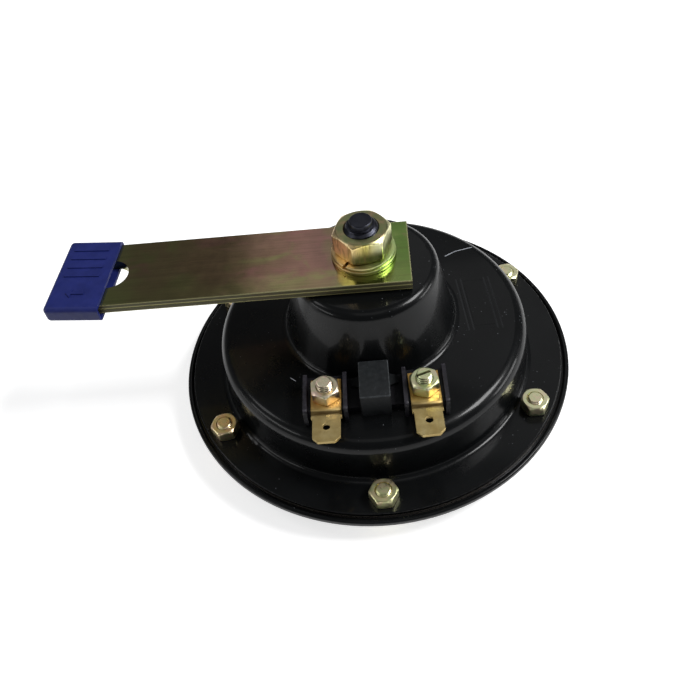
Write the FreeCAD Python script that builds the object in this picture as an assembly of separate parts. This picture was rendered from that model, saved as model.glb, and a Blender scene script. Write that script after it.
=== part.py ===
import FreeCAD, Part
import math
import os

os.makedirs("parts", exist_ok=True)

# Electromagnetic disc horn for a car, lying face down on its front cover.
# Millimetres. +Z runs along the horn's axis from the front cover to the bracket,
# the bracket points along -X, and the terminals are on the -Y side.
# The origin is on the axis, on the flat face that the horn rests on.

# How far cutters run past what they cut, and how close two lengths count as equal
over = 1.0
same = 0.01

# Clearances
thread_gap = 0.05
hole_gap = 0.15
slide_gap = 0.3
arm_gap = 0.2

# Front cover
cover_depth = 6.15
cover_sheet = 1.2
cover_wall_draft = 2.7
head_to_cover = 0.75
nut_to_rim = 3.1
lip_drop = 0.8
lip_edge_round = 0.5
rim_bend = 1.4
cover_wall_bend = 1.0
cover_face_bend = 2.4
slot_count = 24
slot_inner_radius = 14.0
slot_to_face_edge = 5.5
slot_width = 2.2

# Clamped stack at the rim
gasket_thickness = 0.3
gasket_to_drum = 1.6
diaphragm_thickness = 0.4
housing_sheet = 1.0
rim_groove = 0.7

# Housing: flange, drum and turret in one pressing
drum_top_width = 17.4
drum_draft = 0.6
drum_height = 12.65
drum_rise = 1.2
turret_draft = 4.2
turret_height = 18.1
drum_foot_bend = 1.6
drum_shoulder_bend = 3.2
turret_foot_bend = 1.8
turret_shoulder_bend = 2.4
flange_edge_round = 0.25

# Embossed frame on the drum's top, on the right
frame_from_turret = 6.3
frame_angle = 4.1
frame_turn = 4.7
frame_length = 18.3
frame_width = 8.3
frame_line = 0.45
frame_spacing = 1.2
frame_depth = 0.1

# Rim screws and nuts
screw_count = 6
nut_to_drum = 1.7
first_screw_angle = -150.0
housing_turn = 0.7
screw_radius = 1.8
screw_head_radius = 3.8
screw_head_height = 2.5
screw_head_round = 1.0
screw_slot_width = 1.0
screw_slot_depth = 1.1
screw_standout = 0.5
screw_end_chamfer = 0.4
small_nut_flats = 6.1
small_nut_height = 3.2
rim_nut_turns = (10.0, 1.5, 0.0, 12.0, 50.0, 21.0)

# Core with its M8 stud
stud_radius = 3.9
core_radius = 8.0
core_length = 9.0
stud_standout = 2.2
dog_radius = 2.6
dog_length = 1.3
dog_chamfer = 0.35
stud_end_chamfer = 0.7

# Bracket of two leaves, and what clamps it
bracket_width = 20.2
leaf_thickness = 1.25
leaf_edge_round = 0.12
hole_to_bracket_end = 9.3
bracket_overhang = 10.5
mount_hole_x = 59.9
mount_hole_radius = 4.5
leaf_corner_radius = 1.0
seat_washer_thickness = 0.5
seat_washer_radius = 8.0
flat_washer_thickness = 1.0
flat_washer_radius = 7.5
spring_washer_thickness = 1.0
spring_washer_radius = 7.35
spring_washer_gap = 0.8
spring_washer_slant = 20.0
spring_gap_angle = -128.0
big_nut_flats = 12.0
big_nut_height = 5.9
big_nut_turn = 10.5
nut_chamfer_ratio = 0.95
nut_chamfer_angle = 30.0
nut_mouth_ratio = 1.04

# Push-on cap on the bracket's end
cap_length = 13.1
cap_side_wall = 0.65
cap_skin = 0.75
cap_play = 0.1
cap_side_play = 0.8
cap_turn = -5.4
cap_end_gap = 1.2
cap_end_wall = 1.25
cap_edge_round = 1.1
cap_bar_count = 4
cap_bar_height = 0.25
cap_bar_width = 0.7
cap_bar_pitch = 2.9
cap_bar_length = 8.6
cap_bar_first_y = 8.0
cap_arrow_y = -6.4
cap_arrow_length = 4.4
cap_arrow_head = 2.6

# Armature, and the tone disc at its front end
air_gap = 0.8
collar_reach = 2.5
collar_thickness = 1.2
stem_radius = 2.5
stem_end_gap = 0.5
tone_disc_to_face_edge = 2.5
tone_disc_thickness = 1.0
tone_disc_edge = 0.3
spacer_radius = 6.0
spacer_height = 1.6
clamp_washer_thickness = 0.6
stem_nut_flats = 8.0
stem_nut_height = 2.2

# Coil
bobbin_bore_gap = 0.35
bobbin_wall = 1.0
bobbin_to_turret = 2.9
bobbin_top_gap = 0.3
winding_gap = 0.05
winding_depth = 3.6
winding_inset = 0.9
yoke_clearance = 0.4
yoke_thickness = 2.0
yoke_seat_gap = 0.05

# Contact breaker
arm_thickness = 0.3
arm_drop = 2.0
arm_pivot_inset = 5.4
arm_root_length = 2.4
arm_tip_x = -6.0
arm_to_armature = 0.6
arm_width = 4.9
collar_to_arm = 0.1
contact_x = 4.0
contact_inset = 3.6
contact_radius = 1.2
moving_contact_height = 0.8
fixed_contact_height = 1.2
fixed_arm_thickness = 0.8
fixed_arm_half_width = 2.6
fixed_arm_end = 2.0
fixed_arm_tip = 1.6
fixed_rivet_from_contact = 6.8
rivet_radius = 1.2
rivet_head_radius = 2.0
rivet_head_height = 0.6
breaker_pad_half = 2.4

# Terminals on the drum's top
terminal_spacing = 11.2
terminal_from_turret = 5.1
terminal_turns = (0.0, 2.5)
terminal_nut_turns = (35.0, 41.0)
base_height = 2.3
base_back_reach = 5.8
base_web_height = 0.9
web_setback = 1.0
spigot_overlap = 1.0
spigot_radius = 3.2
rib_clearances = (0.45, 0.8)
rib_thickness = 0.9
rib_height = 1.9
rib_front_reach = 0.65
tab_thickness = 0.8
tab_root_width = 7.0
tab_root_back = 4.3
tab_bend_reach = 4.65
tab_step = 0.8
tab_shoulder_length = 0.9
tab_blade_width = 6.3
tab_blade_length = 6.4
tab_tip_chamfer = 1.2
tab_hole_radius = 0.85
tab_hole_from_tip = 4.0
tab_bend_inner = 0.25
tab_to_base = 0.2
terminal_stud_standout = 1.7
terminal_head_radius = 3.0
terminal_head_height = 1.0
inner_insulator_radius = 4.2
inner_insulator_thickness = 1.0

# Adjusting screw and the block that covers it
adjuster_from_turret = 5.0
block_offset = 0.8
adjuster_radius = 2.0
adjuster_head_height = 1.6
adjuster_head_radius = 2.4
block_room = 0.15
block_length = 10.4
block_height = 6.8
block_edge_round = 0.3
block_wall = 0.9
wing_reach = 2.0
wing_root_length = 3.4
wing_tip_length = 2.0
wing_height = 1.7
wing_offset = 4.0

# Enamelled leads inside
lead_radius = 0.4
lead_touch = 0.02
lead_bend = 1.2
lead_hole_gap = 0.35
lead_to_bobbin = 2.6
lead_rise = 2.6
fixed_lead_angle = -93.0
breaker_lead_drop = 2.0

# Radii that follow from the core, the coil and the nuts
winding_inner_radius = core_radius + bobbin_bore_gap + bobbin_wall + winding_gap
winding_radius = winding_inner_radius + winding_depth
bobbin_flange_radius = winding_radius + winding_inset
turret_top_radius = bobbin_flange_radius + bobbin_to_turret
turret_foot_radius = turret_top_radius + turret_draft
terminal_y = -turret_foot_radius - terminal_from_turret
adjuster_y = -turret_foot_radius - adjuster_from_turret
frame_radius = turret_foot_radius + frame_from_turret
drum_shoulder_radius = turret_foot_radius + drum_top_width
drum_foot_radius = drum_shoulder_radius + drum_draft
screw_circle_radius = drum_foot_radius + nut_to_drum + small_nut_flats / 2
rim_radius = screw_circle_radius + small_nut_flats / 2 + nut_to_rim
flange_radius = rim_radius - cover_sheet - rim_groove
cover_wall_radius = screw_circle_radius - screw_head_radius - head_to_cover
cover_face_radius = cover_wall_radius - cover_wall_draft
slot_outer_radius = cover_face_radius - slot_to_face_edge
tone_disc_radius = cover_face_radius - tone_disc_to_face_edge
gasket_inner_radius = drum_foot_radius + gasket_to_drum
armature_radius = core_radius
collar_radius = armature_radius + collar_reach
lead_hole_circle = bobbin_flange_radius + lead_to_bobbin
insulator_reach = math.hypot(terminal_spacing, terminal_y) - inner_insulator_radius
yoke_radius = min(-adjuster_y - adjuster_radius, insulator_reach) - yoke_clearance

# Places that follow from the bracket, the terminals and the armature
bracket_reach = mount_hole_x + hole_to_bracket_end
cap_pocket_width = bracket_width + 2 * cap_side_play
cap_width = cap_pocket_width + 2 * cap_side_wall
tab_bend_y = terminal_y - tab_bend_reach
rib_front_y = tab_bend_y - rib_front_reach
base_back_y = terminal_y + base_back_reach
base_front_y = tab_bend_y + tab_thickness + tab_to_base
rib_offsets = (terminal_spacing - (tab_root_width + rib_thickness) / 2 - rib_clearances[0],
               terminal_spacing + (tab_root_width + rib_thickness) / 2 + rib_clearances[1])
base_half_width = rib_offsets[1] + rib_thickness / 2
block_width = 2 * (adjuster_head_radius + block_room + block_wall)
block_y = adjuster_y + block_offset
wing_y = adjuster_y + wing_offset
arm_pivot_x = yoke_radius - arm_pivot_inset
arm_inner_y = -armature_radius - arm_to_armature
arm_outer_y = arm_inner_y - arm_width
contact_y = arm_inner_y - contact_inset
fixed_arm_inner_y = contact_y + fixed_arm_tip
fixed_arm_outer_y = adjuster_y - fixed_arm_end
fixed_rivet_y = contact_y - fixed_rivet_from_contact

# Heights that follow from the stack
ring_top = cover_depth + cover_sheet
front_gasket_top = ring_top + gasket_thickness
diaphragm_top = front_gasket_top + diaphragm_thickness
rear_gasket_top = diaphragm_top + gasket_thickness
flange_top = rear_gasket_top + housing_sheet
shoulder_z = flange_top + drum_height
turret_foot_z = shoulder_z + drum_rise
turret_top = turret_foot_z + turret_height
turret_ceiling = turret_top - housing_sheet
bracket_bottom = turret_top + seat_washer_thickness
bracket_top = bracket_bottom + 2 * leaf_thickness
spring_washer_bottom = bracket_top + flat_washer_thickness
big_nut_bottom = spring_washer_bottom + spring_washer_thickness
big_nut_top = big_nut_bottom + big_nut_height
stud_hole_radius = stud_radius + hole_gap
core_bottom = turret_ceiling - core_length
armature_top = core_bottom - air_gap
drum_slope = drum_rise / (drum_shoulder_radius - turret_foot_radius)
yoke_top = turret_foot_z - housing_sheet - yoke_seat_gap - drum_slope * (yoke_radius - turret_foot_radius)
yoke_bottom = yoke_top - yoke_thickness
arm_top = yoke_bottom - arm_drop
arm_bottom = arm_top - arm_thickness
collar_top = arm_bottom - collar_to_arm
contact_face = arm_bottom - moving_contact_height
fixed_arm_top = contact_face - fixed_contact_height
fixed_arm_bottom = fixed_arm_top - fixed_arm_thickness
arm_middle_y = (arm_inner_y + arm_outer_y) / 2
tone_disc_top = front_gasket_top - spacer_height
tone_disc_bottom = tone_disc_top - tone_disc_thickness
clamp_washer_bottom = tone_disc_bottom - clamp_washer_thickness
base_top_z = turret_foot_z + base_height
tab_top = base_top_z + tab_thickness


def vec(x, y, z):
    return FreeCAD.Vector(x, y, z)


def cylinder(radius, low, high, x=0.0, y=0.0):
    return Part.makeCylinder(radius, high - low, vec(x, y, low))


def tube(outer, inner, low, high, x=0.0, y=0.0):
    return cylinder(outer, low, high, x, y).cut(cylinder(inner, low - over, high + over, x, y))


def block(x0, x1, y0, y1, z0, z1):
    return Part.makeBox(x1 - x0, y1 - y0, z1 - z0, vec(x0, y0, z0))


def turned(shape, angle, centre=(0.0, 0.0)):
    """A copy turned about a vertical axis through centre."""
    copy = shape.copy()
    copy.rotate(vec(centre[0], centre[1], 0), vec(0, 0, 1), angle)
    return copy


def on_circle(radius, angle):
    a = math.radians(angle)
    return radius * math.cos(a), radius * math.sin(a)


def offset_path(points, distance):
    """The path moved sideways by distance, to the left of its direction of travel."""
    normals = []
    for (a0, b0), (a1, b1) in zip(points, points[1:]):
        length = math.hypot(a1 - a0, b1 - b0)
        normals.append(((b0 - b1) / length, (a1 - a0) / length))
    moved = []
    for index, (a, b) in enumerate(points):
        before = normals[max(index - 1, 0)]
        after = normals[min(index, len(normals) - 1)]
        share = 1 + before[0] * after[0] + before[1] * after[1]
        moved.append((a + distance * (before[0] + after[0]) / share,
                      b + distance * (before[1] + after[1]) / share))
    return moved


def turn_sign(before, corner, after):
    cross = ((corner[0] - before[0]) * (after[1] - corner[1])
             - (corner[1] - before[1]) * (after[0] - corner[0]))
    return 1 if cross > 0 else -1


def rounded_edges(points, radii, place):
    """Lines and arcs along the points; radii has one value for each inner point."""
    edges = []
    start = place(points[0])
    for before, corner, after, radius in zip(points, points[1:], points[2:], radii):
        c = place(corner)
        into = (place(before) - c).normalize()
        out = (place(after) - c).normalize()
        half = into.getAngle(out) / 2
        reach = radius / math.tan(half)
        bisector = (into + out).normalize()
        middle = c + bisector * (radius / math.sin(half) - radius)
        first = c + into * reach
        last = c + out * reach
        edges.append(Part.LineSegment(start, first).toShape())
        edges.append(Part.Arc(first, middle, last).toShape())
        start = last
    edges.append(Part.LineSegment(start, place(points[-1])).toShape())
    return edges


def sheet_face(points, bends, sheet, side, place):
    """Section of a bent sheet: points follow one surface, side says where the metal lies."""
    other = offset_path(points, side * sheet)
    other_bends = []
    for before, corner, after, bend in zip(points, points[1:], points[2:], bends):
        other_bends.append(bend - side * turn_sign(before, corner, after) * sheet)
    near = rounded_edges(points, bends, place)
    far = rounded_edges(other[::-1], other_bends[::-1], place)
    ends = [Part.LineSegment(place(points[-1]), place(other[-1])).toShape(),
            Part.LineSegment(place(other[0]), place(points[0])).toShape()]
    return Part.Face(Part.Wire(near + ends[:1] + far + ends[1:]))


def in_section(point):
    return vec(point[0], 0, point[1])


def revolved(face):
    return face.revolve(vec(0, 0, 0), vec(0, 0, 1), 360)


def circle_edges(shape, radius, z):
    """The circular edges of a turned shape with this radius at this height."""
    found = []
    for edge in shape.Edges:
        curve = edge.Curve
        if isinstance(curve, Part.Circle):
            if abs(curve.Radius - radius) < same and abs(curve.Center.z - z) < same:
                found.append(edge)
    return found


def edges_between(shape, low, high):
    """The edges whose middles lie between two heights."""
    return [e for e in shape.Edges if low < e.BoundBox.Center.z < high]


def hex_nut(flats, height, bore, x, y, low, turn):
    corner = flats / math.sqrt(3)
    points = []
    for k in range(7):
        px, py = on_circle(corner, turn + 60 * k)
        points.append(vec(x + px, y + py, low))
    prism = Part.Face(Part.makePolygon(points)).extrude(vec(0, 0, height))
    flat = flats / 2 * nut_chamfer_ratio
    slope = math.tan(math.radians(nut_chamfer_angle))
    rise = (corner - flat) * slope
    wide = corner + (height / 2 - rise) / slope
    middle = low + height / 2
    lower = Part.makeCone(flat, wide, height / 2, vec(x, y, low))
    upper = Part.makeCone(wide, flat, height / 2, vec(x, y, middle))
    nut = prism.common(lower.fuse(upper))
    nut = nut.cut(cylinder(bore, low - over, low + height + over, x, y))
    mouth = bore * nut_mouth_ratio
    for z, r0, r1 in ((low, mouth, bore), (low + height - (mouth - bore), bore, mouth)):
        nut = nut.cut(Part.makeCone(r0, r1, mouth - bore, vec(x, y, z)))
    return nut.removeSplitter()


def housing_path():
    """The housing's outer surface, from the flange's edge in to the stud hole."""
    return [(flange_radius, flange_top), (drum_foot_radius, flange_top),
            (drum_shoulder_radius, shoulder_z), (turret_foot_radius, turret_foot_z),
            (turret_top_radius, turret_top), (stud_hole_radius, turret_top)]


def housing_bends():
    return [drum_foot_bend, drum_shoulder_bend, turret_foot_bend, turret_shoulder_bend]


def housing_envelope():
    """Everything at or below the housing's outer surface."""
    path = housing_path()
    path[-1] = (0.0, turret_top)
    edges = rounded_edges(path, housing_bends(), in_section)
    corners = [path[-1], (0.0, 0.0), (flange_radius, 0.0), path[0]]
    for a, b in zip(corners, corners[1:]):
        edges.append(Part.LineSegment(in_section(a), in_section(b)).toShape())
    return revolved(Part.Face(Part.Wire(edges)))


def housing_cavity():
    """The room inside the housing, below its sheet."""
    path = offset_path(housing_path(), housing_sheet)
    path[-1] = (0.0, turret_ceiling)
    bends = [drum_foot_bend + housing_sheet, drum_shoulder_bend - housing_sheet,
             turret_foot_bend + housing_sheet, turret_shoulder_bend - housing_sheet]
    edges = rounded_edges(path, bends, in_section)
    corners = [path[-1], (0.0, 0.0), (flange_radius, 0.0), path[0]]
    for a, b in zip(corners, corners[1:]):
        edges.append(Part.LineSegment(in_section(a), in_section(b)).toShape())
    return revolved(Part.Face(Part.Wire(edges)))


def drum_top_z(radius):
    return shoulder_z + drum_slope * (drum_shoulder_radius - radius)


def rim_angles():
    return [first_screw_angle + housing_turn + k * 360 / screw_count for k in range(screw_count)]


def terminal_places():
    """Centre of each terminal, left then right, turned with the housing."""
    places = []
    for side in (-1, 1):
        reach = math.hypot(terminal_spacing, terminal_y)
        angle = math.degrees(math.atan2(terminal_y, side * terminal_spacing))
        places.append(on_circle(reach, angle + housing_turn))
    return places


def adjuster_place():
    return on_circle(-adjuster_y, -90 + housing_turn)


def frame_rectangle(length, width, line):
    outer = block(-width / 2, width / 2, -length / 2, length / 2, 0, housing_sheet)
    inner = block(-width / 2 + line, width / 2 - line, -length / 2 + line,
                  length / 2 - line, -over, housing_sheet + over)
    return outer.cut(inner)


def embossed_frame():
    """Cutter for a double line pressed into the drum's top."""
    outer = frame_rectangle(frame_length, frame_width, frame_line)
    inner = frame_rectangle(frame_length - 2 * frame_spacing, frame_width - 2 * frame_spacing,
                            frame_line)
    cutter = outer.fuse(inner)
    x, y = on_circle(frame_radius, frame_angle)
    tilt = math.degrees(math.atan(drum_slope))
    cutter.rotate(vec(0, 0, 0), vec(0, 0, 1), frame_turn - frame_angle)
    cutter.rotate(vec(0, 0, 0), vec(0, 1, 0), tilt)
    cutter.rotate(vec(0, 0, 0), vec(0, 0, 1), frame_angle)
    cutter.translate(vec(x, y, drum_top_z(frame_radius) - frame_depth))
    return cutter


def housing():
    face = sheet_face(housing_path(), housing_bends(), housing_sheet, 1, in_section)
    shell = revolved(face)
    shell = shell.makeFillet(flange_edge_round, circle_edges(shell, flange_radius, flange_top))
    for angle in rim_angles():
        x, y = on_circle(screw_circle_radius, angle)
        shell = shell.cut(cylinder(screw_radius + hole_gap, rear_gasket_top - over,
                                   flange_top + over, x, y))
    low = yoke_bottom
    high = turret_foot_z + over
    for x, y in terminal_places():
        shell = shell.cut(cylinder(spigot_radius + hole_gap, low, high, x, y))
    x, y = adjuster_place()
    shell = shell.cut(cylinder(adjuster_radius + thread_gap, low, high, x, y))
    return shell.cut(embossed_frame())


def cover_path():
    lip_top = flange_top - lip_drop
    return [(rim_radius, lip_top), (rim_radius, cover_depth), (cover_wall_radius, cover_depth),
            (cover_face_radius, 0.0), (0.0, 0.0)]


def front_cover():
    bends = [rim_bend, cover_wall_bend, cover_face_bend]
    face = sheet_face(cover_path(), bends, cover_sheet, -1, in_section)
    shell = revolved(face)
    lip_top = flange_top - lip_drop
    lip = circle_edges(shell, rim_radius, lip_top)
    lip += circle_edges(shell, rim_radius - cover_sheet, lip_top)
    shell = shell.makeFillet(lip_edge_round, lip)
    for angle in rim_angles():
        x, y = on_circle(screw_circle_radius, angle)
        shell = shell.cut(cylinder(screw_radius + hole_gap, cover_depth - over,
                                   ring_top + over, x, y))
    half = slot_width / 2
    slot = block(slot_inner_radius, slot_outer_radius, -half, half, -over, cover_sheet + over)
    for radius in (slot_inner_radius, slot_outer_radius):
        slot = slot.fuse(cylinder(half, -over, cover_sheet + over, radius, 0))
    for k in range(slot_count):
        shell = shell.cut(turned(slot, (k + 0.5) * 360 / slot_count))
    return shell


def rim_ring(inner, low, high):
    """A ring of the clamped stack with the six screw holes."""
    if inner > 0:
        ring = tube(flange_radius, inner, low, high)
    else:
        ring = cylinder(flange_radius, low, high)
    for angle in rim_angles():
        x, y = on_circle(screw_circle_radius, angle)
        ring = ring.cut(cylinder(screw_radius + hole_gap, low - over, high + over, x, y))
    return ring


def diaphragm():
    disc = rim_ring(0.0, front_gasket_top, diaphragm_top)
    return disc.cut(cylinder(stem_radius + thread_gap, front_gasket_top - over,
                             diaphragm_top + over))


def slotted_head(x, y, underside, turn):
    low = underside - screw_head_height
    head = cylinder(screw_head_radius, low, underside, x, y)
    head = head.makeFillet(screw_head_round, circle_edges(head, screw_head_radius, low))
    half = screw_slot_width / 2
    reach = screw_head_radius + over
    slot = block(x - reach, x + reach, y - half, y + half,
                 low - over, low + screw_slot_depth)
    return head.cut(turned(slot, turn, (x, y)))


def flange_screws():
    end = flange_top + small_nut_height + screw_standout
    solids = []
    for k, angle in enumerate(rim_angles()):
        x, y = on_circle(screw_circle_radius, angle)
        shank = cylinder(screw_radius, cover_depth, end, x, y)
        shank = shank.makeChamfer(screw_end_chamfer, circle_edges(shank, screw_radius, end))
        head = slotted_head(x, y, cover_depth, angle + rim_nut_turns[k])
        solids.append(shank.fuse(head).removeSplitter())
    return Part.makeCompound(solids)


def flange_nuts():
    solids = []
    for k, angle in enumerate(rim_angles()):
        x, y = on_circle(screw_circle_radius, angle)
        solids.append(hex_nut(small_nut_flats, small_nut_height, screw_radius + thread_gap,
                              x, y, flange_top, rim_nut_turns[k]))
    return Part.makeCompound(solids)


def pole_core():
    end = big_nut_top + stud_standout
    collar_end = end - dog_length
    core = cylinder(core_radius, core_bottom, turret_ceiling)
    stud = cylinder(stud_radius, turret_ceiling, collar_end)
    stud = stud.makeChamfer(stud_end_chamfer, circle_edges(stud, stud_radius, collar_end))
    dog = cylinder(dog_radius, collar_end, end)
    dog = dog.makeChamfer(dog_chamfer, circle_edges(dog, dog_radius, end))
    return core.fuse([stud, dog]).removeSplitter()


def leaf(low):
    high = low + leaf_thickness
    half = bracket_width / 2
    strip = block(-bracket_reach, bracket_overhang, -half, half, low, high)
    corners = []
    for e in strip.Edges:
        middle = e.BoundBox.Center
        if middle.x < same - bracket_reach and e.BoundBox.ZLength > leaf_thickness - same:
            corners.append(e)
    strip = strip.makeFillet(leaf_corner_radius, corners)
    long_edges = [e for e in strip.Edges if e.BoundBox.ZLength < same]
    strip = strip.makeFillet(leaf_edge_round, long_edges)
    strip = strip.cut(cylinder(stud_hole_radius, low - over, high + over))
    return strip.cut(cylinder(mount_hole_radius, low - over, high + over, -mount_hole_x, 0))


def spring_washer():
    ring = tube(spring_washer_radius, stud_hole_radius, spring_washer_bottom, big_nut_bottom)
    half = spring_washer_gap / 2
    reach = spring_washer_radius + over
    slot = block(0, reach, -half, half, spring_washer_bottom - over, big_nut_bottom + over)
    middle = vec(0, 0, (spring_washer_bottom + big_nut_bottom) / 2)
    slot.rotate(middle, vec(1, 0, 0), spring_washer_slant)
    return ring.cut(turned(slot, spring_gap_angle))


def cap_arrow(low, high):
    """An arrow on the cap's top that points along the bracket to its end."""
    y = cap_arrow_y
    half = cap_bar_width / 2
    tip = -cap_arrow_length / 2
    neck = tip + cap_arrow_head / 2
    points = [(tip, y), (neck, y - cap_arrow_head / 2), (neck, y - half),
              (-tip, y - half), (-tip, y + half), (neck, y + half), (neck, y + cap_arrow_head / 2)]
    wire = [vec(a, b, low) for a, b in points + points[:1]]
    return Part.Face(Part.makePolygon(wire)).extrude(vec(0, 0, high - low))


def protective_cap():
    """Modelled about its own middle, then turned and moved onto the bracket's end."""
    half_height = leaf_thickness + cap_play + cap_skin
    half_length = cap_length / 2
    half_width = cap_width / 2
    body = block(-half_length, half_length, -half_width, half_width, -half_height, half_height)
    closed = [e for e in body.Edges if e.BoundBox.Center.x < half_length - same]
    body = body.makeFillet(cap_edge_round, closed)
    pocket_end = -half_length + cap_end_wall
    half_pocket = cap_pocket_width / 2
    slit = leaf_thickness + cap_play
    body = body.cut(block(pocket_end, half_length + over, -half_pocket, half_pocket, -slit, slit))
    low = half_height - cap_edge_round / 2
    high = half_height + cap_bar_height
    for k in range(cap_bar_count):
        y = cap_bar_first_y - k * cap_bar_pitch
        half = cap_bar_width / 2
        body = body.fuse(block(-cap_bar_length / 2, cap_bar_length / 2, y - half, y + half, low, high))
    body = body.fuse(cap_arrow(low, high)).removeSplitter()
    corner_reach = bracket_width / 2 * math.sin(math.radians(abs(cap_turn)))
    centre_x = -bracket_reach - corner_reach - cap_end_gap - pocket_end
    body = turned(body, cap_turn)
    body.translate(vec(centre_x, 0, (bracket_bottom + bracket_top) / 2))
    return body


def armature():
    body = cylinder(armature_radius, diaphragm_top, armature_top)
    collar = cylinder(collar_radius, collar_top - collar_thickness, collar_top)
    stem_end = cover_sheet + stem_end_gap
    stem = cylinder(stem_radius, stem_end, diaphragm_top)
    stem = stem.makeChamfer(screw_end_chamfer, circle_edges(stem, stem_radius, stem_end))
    return body.fuse([collar, stem]).removeSplitter()


def washer_on_stem(high, thickness):
    return tube(spacer_radius, stem_radius + thread_gap, high - thickness, high)


def tone_disc():
    disc = cylinder(tone_disc_radius, tone_disc_bottom, tone_disc_top)
    edges = circle_edges(disc, tone_disc_radius, tone_disc_bottom)
    edges += circle_edges(disc, tone_disc_radius, tone_disc_top)
    disc = disc.makeFillet(tone_disc_edge, edges)
    return disc.cut(cylinder(stem_radius + thread_gap, 0, ring_top))


def coil_bobbin():
    bore = core_radius + bobbin_bore_gap
    top = turret_ceiling - bobbin_top_gap
    barrel = tube(bore + bobbin_wall, bore, yoke_top, top)
    lower = tube(bobbin_flange_radius, bore, yoke_top, yoke_top + bobbin_wall)
    upper = tube(bobbin_flange_radius, bore, top - bobbin_wall, top)
    return barrel.fuse([lower, upper]).removeSplitter()


def coil_winding():
    low = yoke_top + bobbin_wall
    high = turret_ceiling - bobbin_top_gap - bobbin_wall
    return tube(winding_radius, winding_inner_radius, low, high)


def yoke_plate():
    plate = tube(yoke_radius, armature_radius + bobbin_bore_gap, yoke_bottom, yoke_top)
    for x, y in breaker_rivet_places():
        plate = plate.cut(cylinder(rivet_radius + thread_gap, yoke_bottom - over,
                                   yoke_top + over, x, y))
    for angle in lead_hole_angles():
        x, y = on_circle(lead_hole_circle, angle)
        room = lead_radius + lead_hole_gap
        plate = plate.cut(cylinder(room, yoke_bottom - over, yoke_top + over, x, y))
    return plate


def breaker_rivet_places():
    return [(arm_pivot_x, arm_middle_y), (contact_x - fixed_arm_half_width / 2, fixed_rivet_y)]


def moving_pad():
    """Insulating block between the yoke plate and the root of the moving arm."""
    x, y = breaker_rivet_places()[0]
    pad = block(x - breaker_pad_half, x + breaker_pad_half, y - breaker_pad_half,
                y + breaker_pad_half, arm_top + arm_gap, yoke_bottom)
    return pad.cut(cylinder(rivet_radius + thread_gap, arm_bottom, yoke_top, x, y))


def fixed_pad():
    """Insulating block between the yoke plate and the fixed contact's arm."""
    x, y = breaker_rivet_places()[1]
    pad = block(x - breaker_pad_half, x + breaker_pad_half, y - breaker_pad_half,
                y + breaker_pad_half, fixed_arm_top, yoke_bottom)
    return pad.cut(cylinder(rivet_radius + thread_gap, fixed_arm_bottom, yoke_top, x, y))


def breaker_rivets():
    lows = (arm_bottom - arm_gap, fixed_arm_bottom)
    solids = []
    for (x, y), low in zip(breaker_rivet_places(), lows):
        shank = cylinder(rivet_radius, low, yoke_top, x, y)
        head = cylinder(rivet_head_radius, low - rivet_head_height, low, x, y)
        solids.append(shank.fuse(head).removeSplitter())
    return Part.makeCompound(solids)


def moving_arm():
    x, y = breaker_rivet_places()[0]
    arm = block(arm_tip_x, x + arm_root_length, arm_outer_y, arm_inner_y, arm_bottom, arm_top)
    upright = [e for e in arm.Edges if e.BoundBox.ZLength > arm_thickness / 2]
    arm = arm.makeFillet(rivet_radius, upright)
    room = rivet_radius + slide_gap
    return arm.cut(cylinder(room, arm_bottom - over, arm_top + over, x, y))


def moving_contact():
    return cylinder(contact_radius, contact_face, arm_bottom, contact_x, contact_y)


def fixed_contact():
    return cylinder(contact_radius, fixed_arm_top, contact_face, contact_x, contact_y)


def fixed_arm():
    x, y = breaker_rivet_places()[1]
    left = adjuster_place()[0] - fixed_arm_half_width
    right = contact_x + contact_radius
    arm = block(left, right, fixed_arm_outer_y, fixed_arm_inner_y, fixed_arm_bottom, fixed_arm_top)
    upright = [e for e in arm.Edges if e.BoundBox.ZLength > fixed_arm_thickness / 2]
    arm = arm.makeFillet(rivet_radius, upright)
    return arm.cut(cylinder(rivet_radius + thread_gap, fixed_arm_bottom - over,
                            fixed_arm_top + over, x, y))


def adjusting_screw():
    x, y = adjuster_place()
    head_low = drum_top_z(-adjuster_y) + slide_gap
    shank = cylinder(adjuster_radius, fixed_arm_top, head_low, x, y)
    head = cylinder(adjuster_head_radius, head_low, head_low + adjuster_head_height, x, y)
    half = screw_slot_width / 2
    reach = adjuster_head_radius + over
    high = head_low + adjuster_head_height
    slot = block(x - reach, x + reach, y - half, y + half, high - screw_slot_depth, high + over)
    return shank.fuse(head).removeSplitter().cut(turned(slot, terminal_nut_turns[0], (x, y)))


def base_web(gap):
    """The thin web between the terminals' two plates, which passes under the raised block."""
    inner = rib_offsets[0]
    web = block(-inner, inner, base_front_y + web_setback - gap, base_back_y + gap,
                shoulder_z - over, turret_foot_z + base_web_height)
    return turned(web, housing_turn)


def adjuster_cover(envelope):
    """The raised block between the terminals, hollow over the screw's head."""
    half = block_width / 2
    front = block_y - block_length / 2
    back = block_y + block_length / 2
    foot = shoulder_z
    top = drum_top_z(-block_y) + block_height
    body = block(-half, half, front, back, foot - over, top)
    body = body.makeFillet(block_edge_round, edges_between(body, foot, top + over))
    wing_top = drum_top_z(-wing_y) + wing_height
    reach = half + wing_reach
    root = wing_root_length / 2
    tip = wing_tip_length / 2
    outline = [(0, wing_y - root), (half, wing_y - root), (reach, wing_y - tip),
               (reach, wing_y + tip), (half, wing_y + root), (0, wing_y + root)]
    for side in (-1, 1):
        wire = Part.makePolygon([vec(side * a, b, foot - over) for a, b in outline + outline[:1]])
        wing = Part.Face(wire).extrude(vec(0, 0, wing_top - foot + over))
        body = body.fuse(wing)
    room = block(-half + block_wall, half - block_wall, front + block_wall, back - block_wall,
                 foot - 2 * over, top - block_wall)
    body = turned(body.cut(room), housing_turn)
    return body.cut(envelope).cut(base_web(hole_gap))


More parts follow.
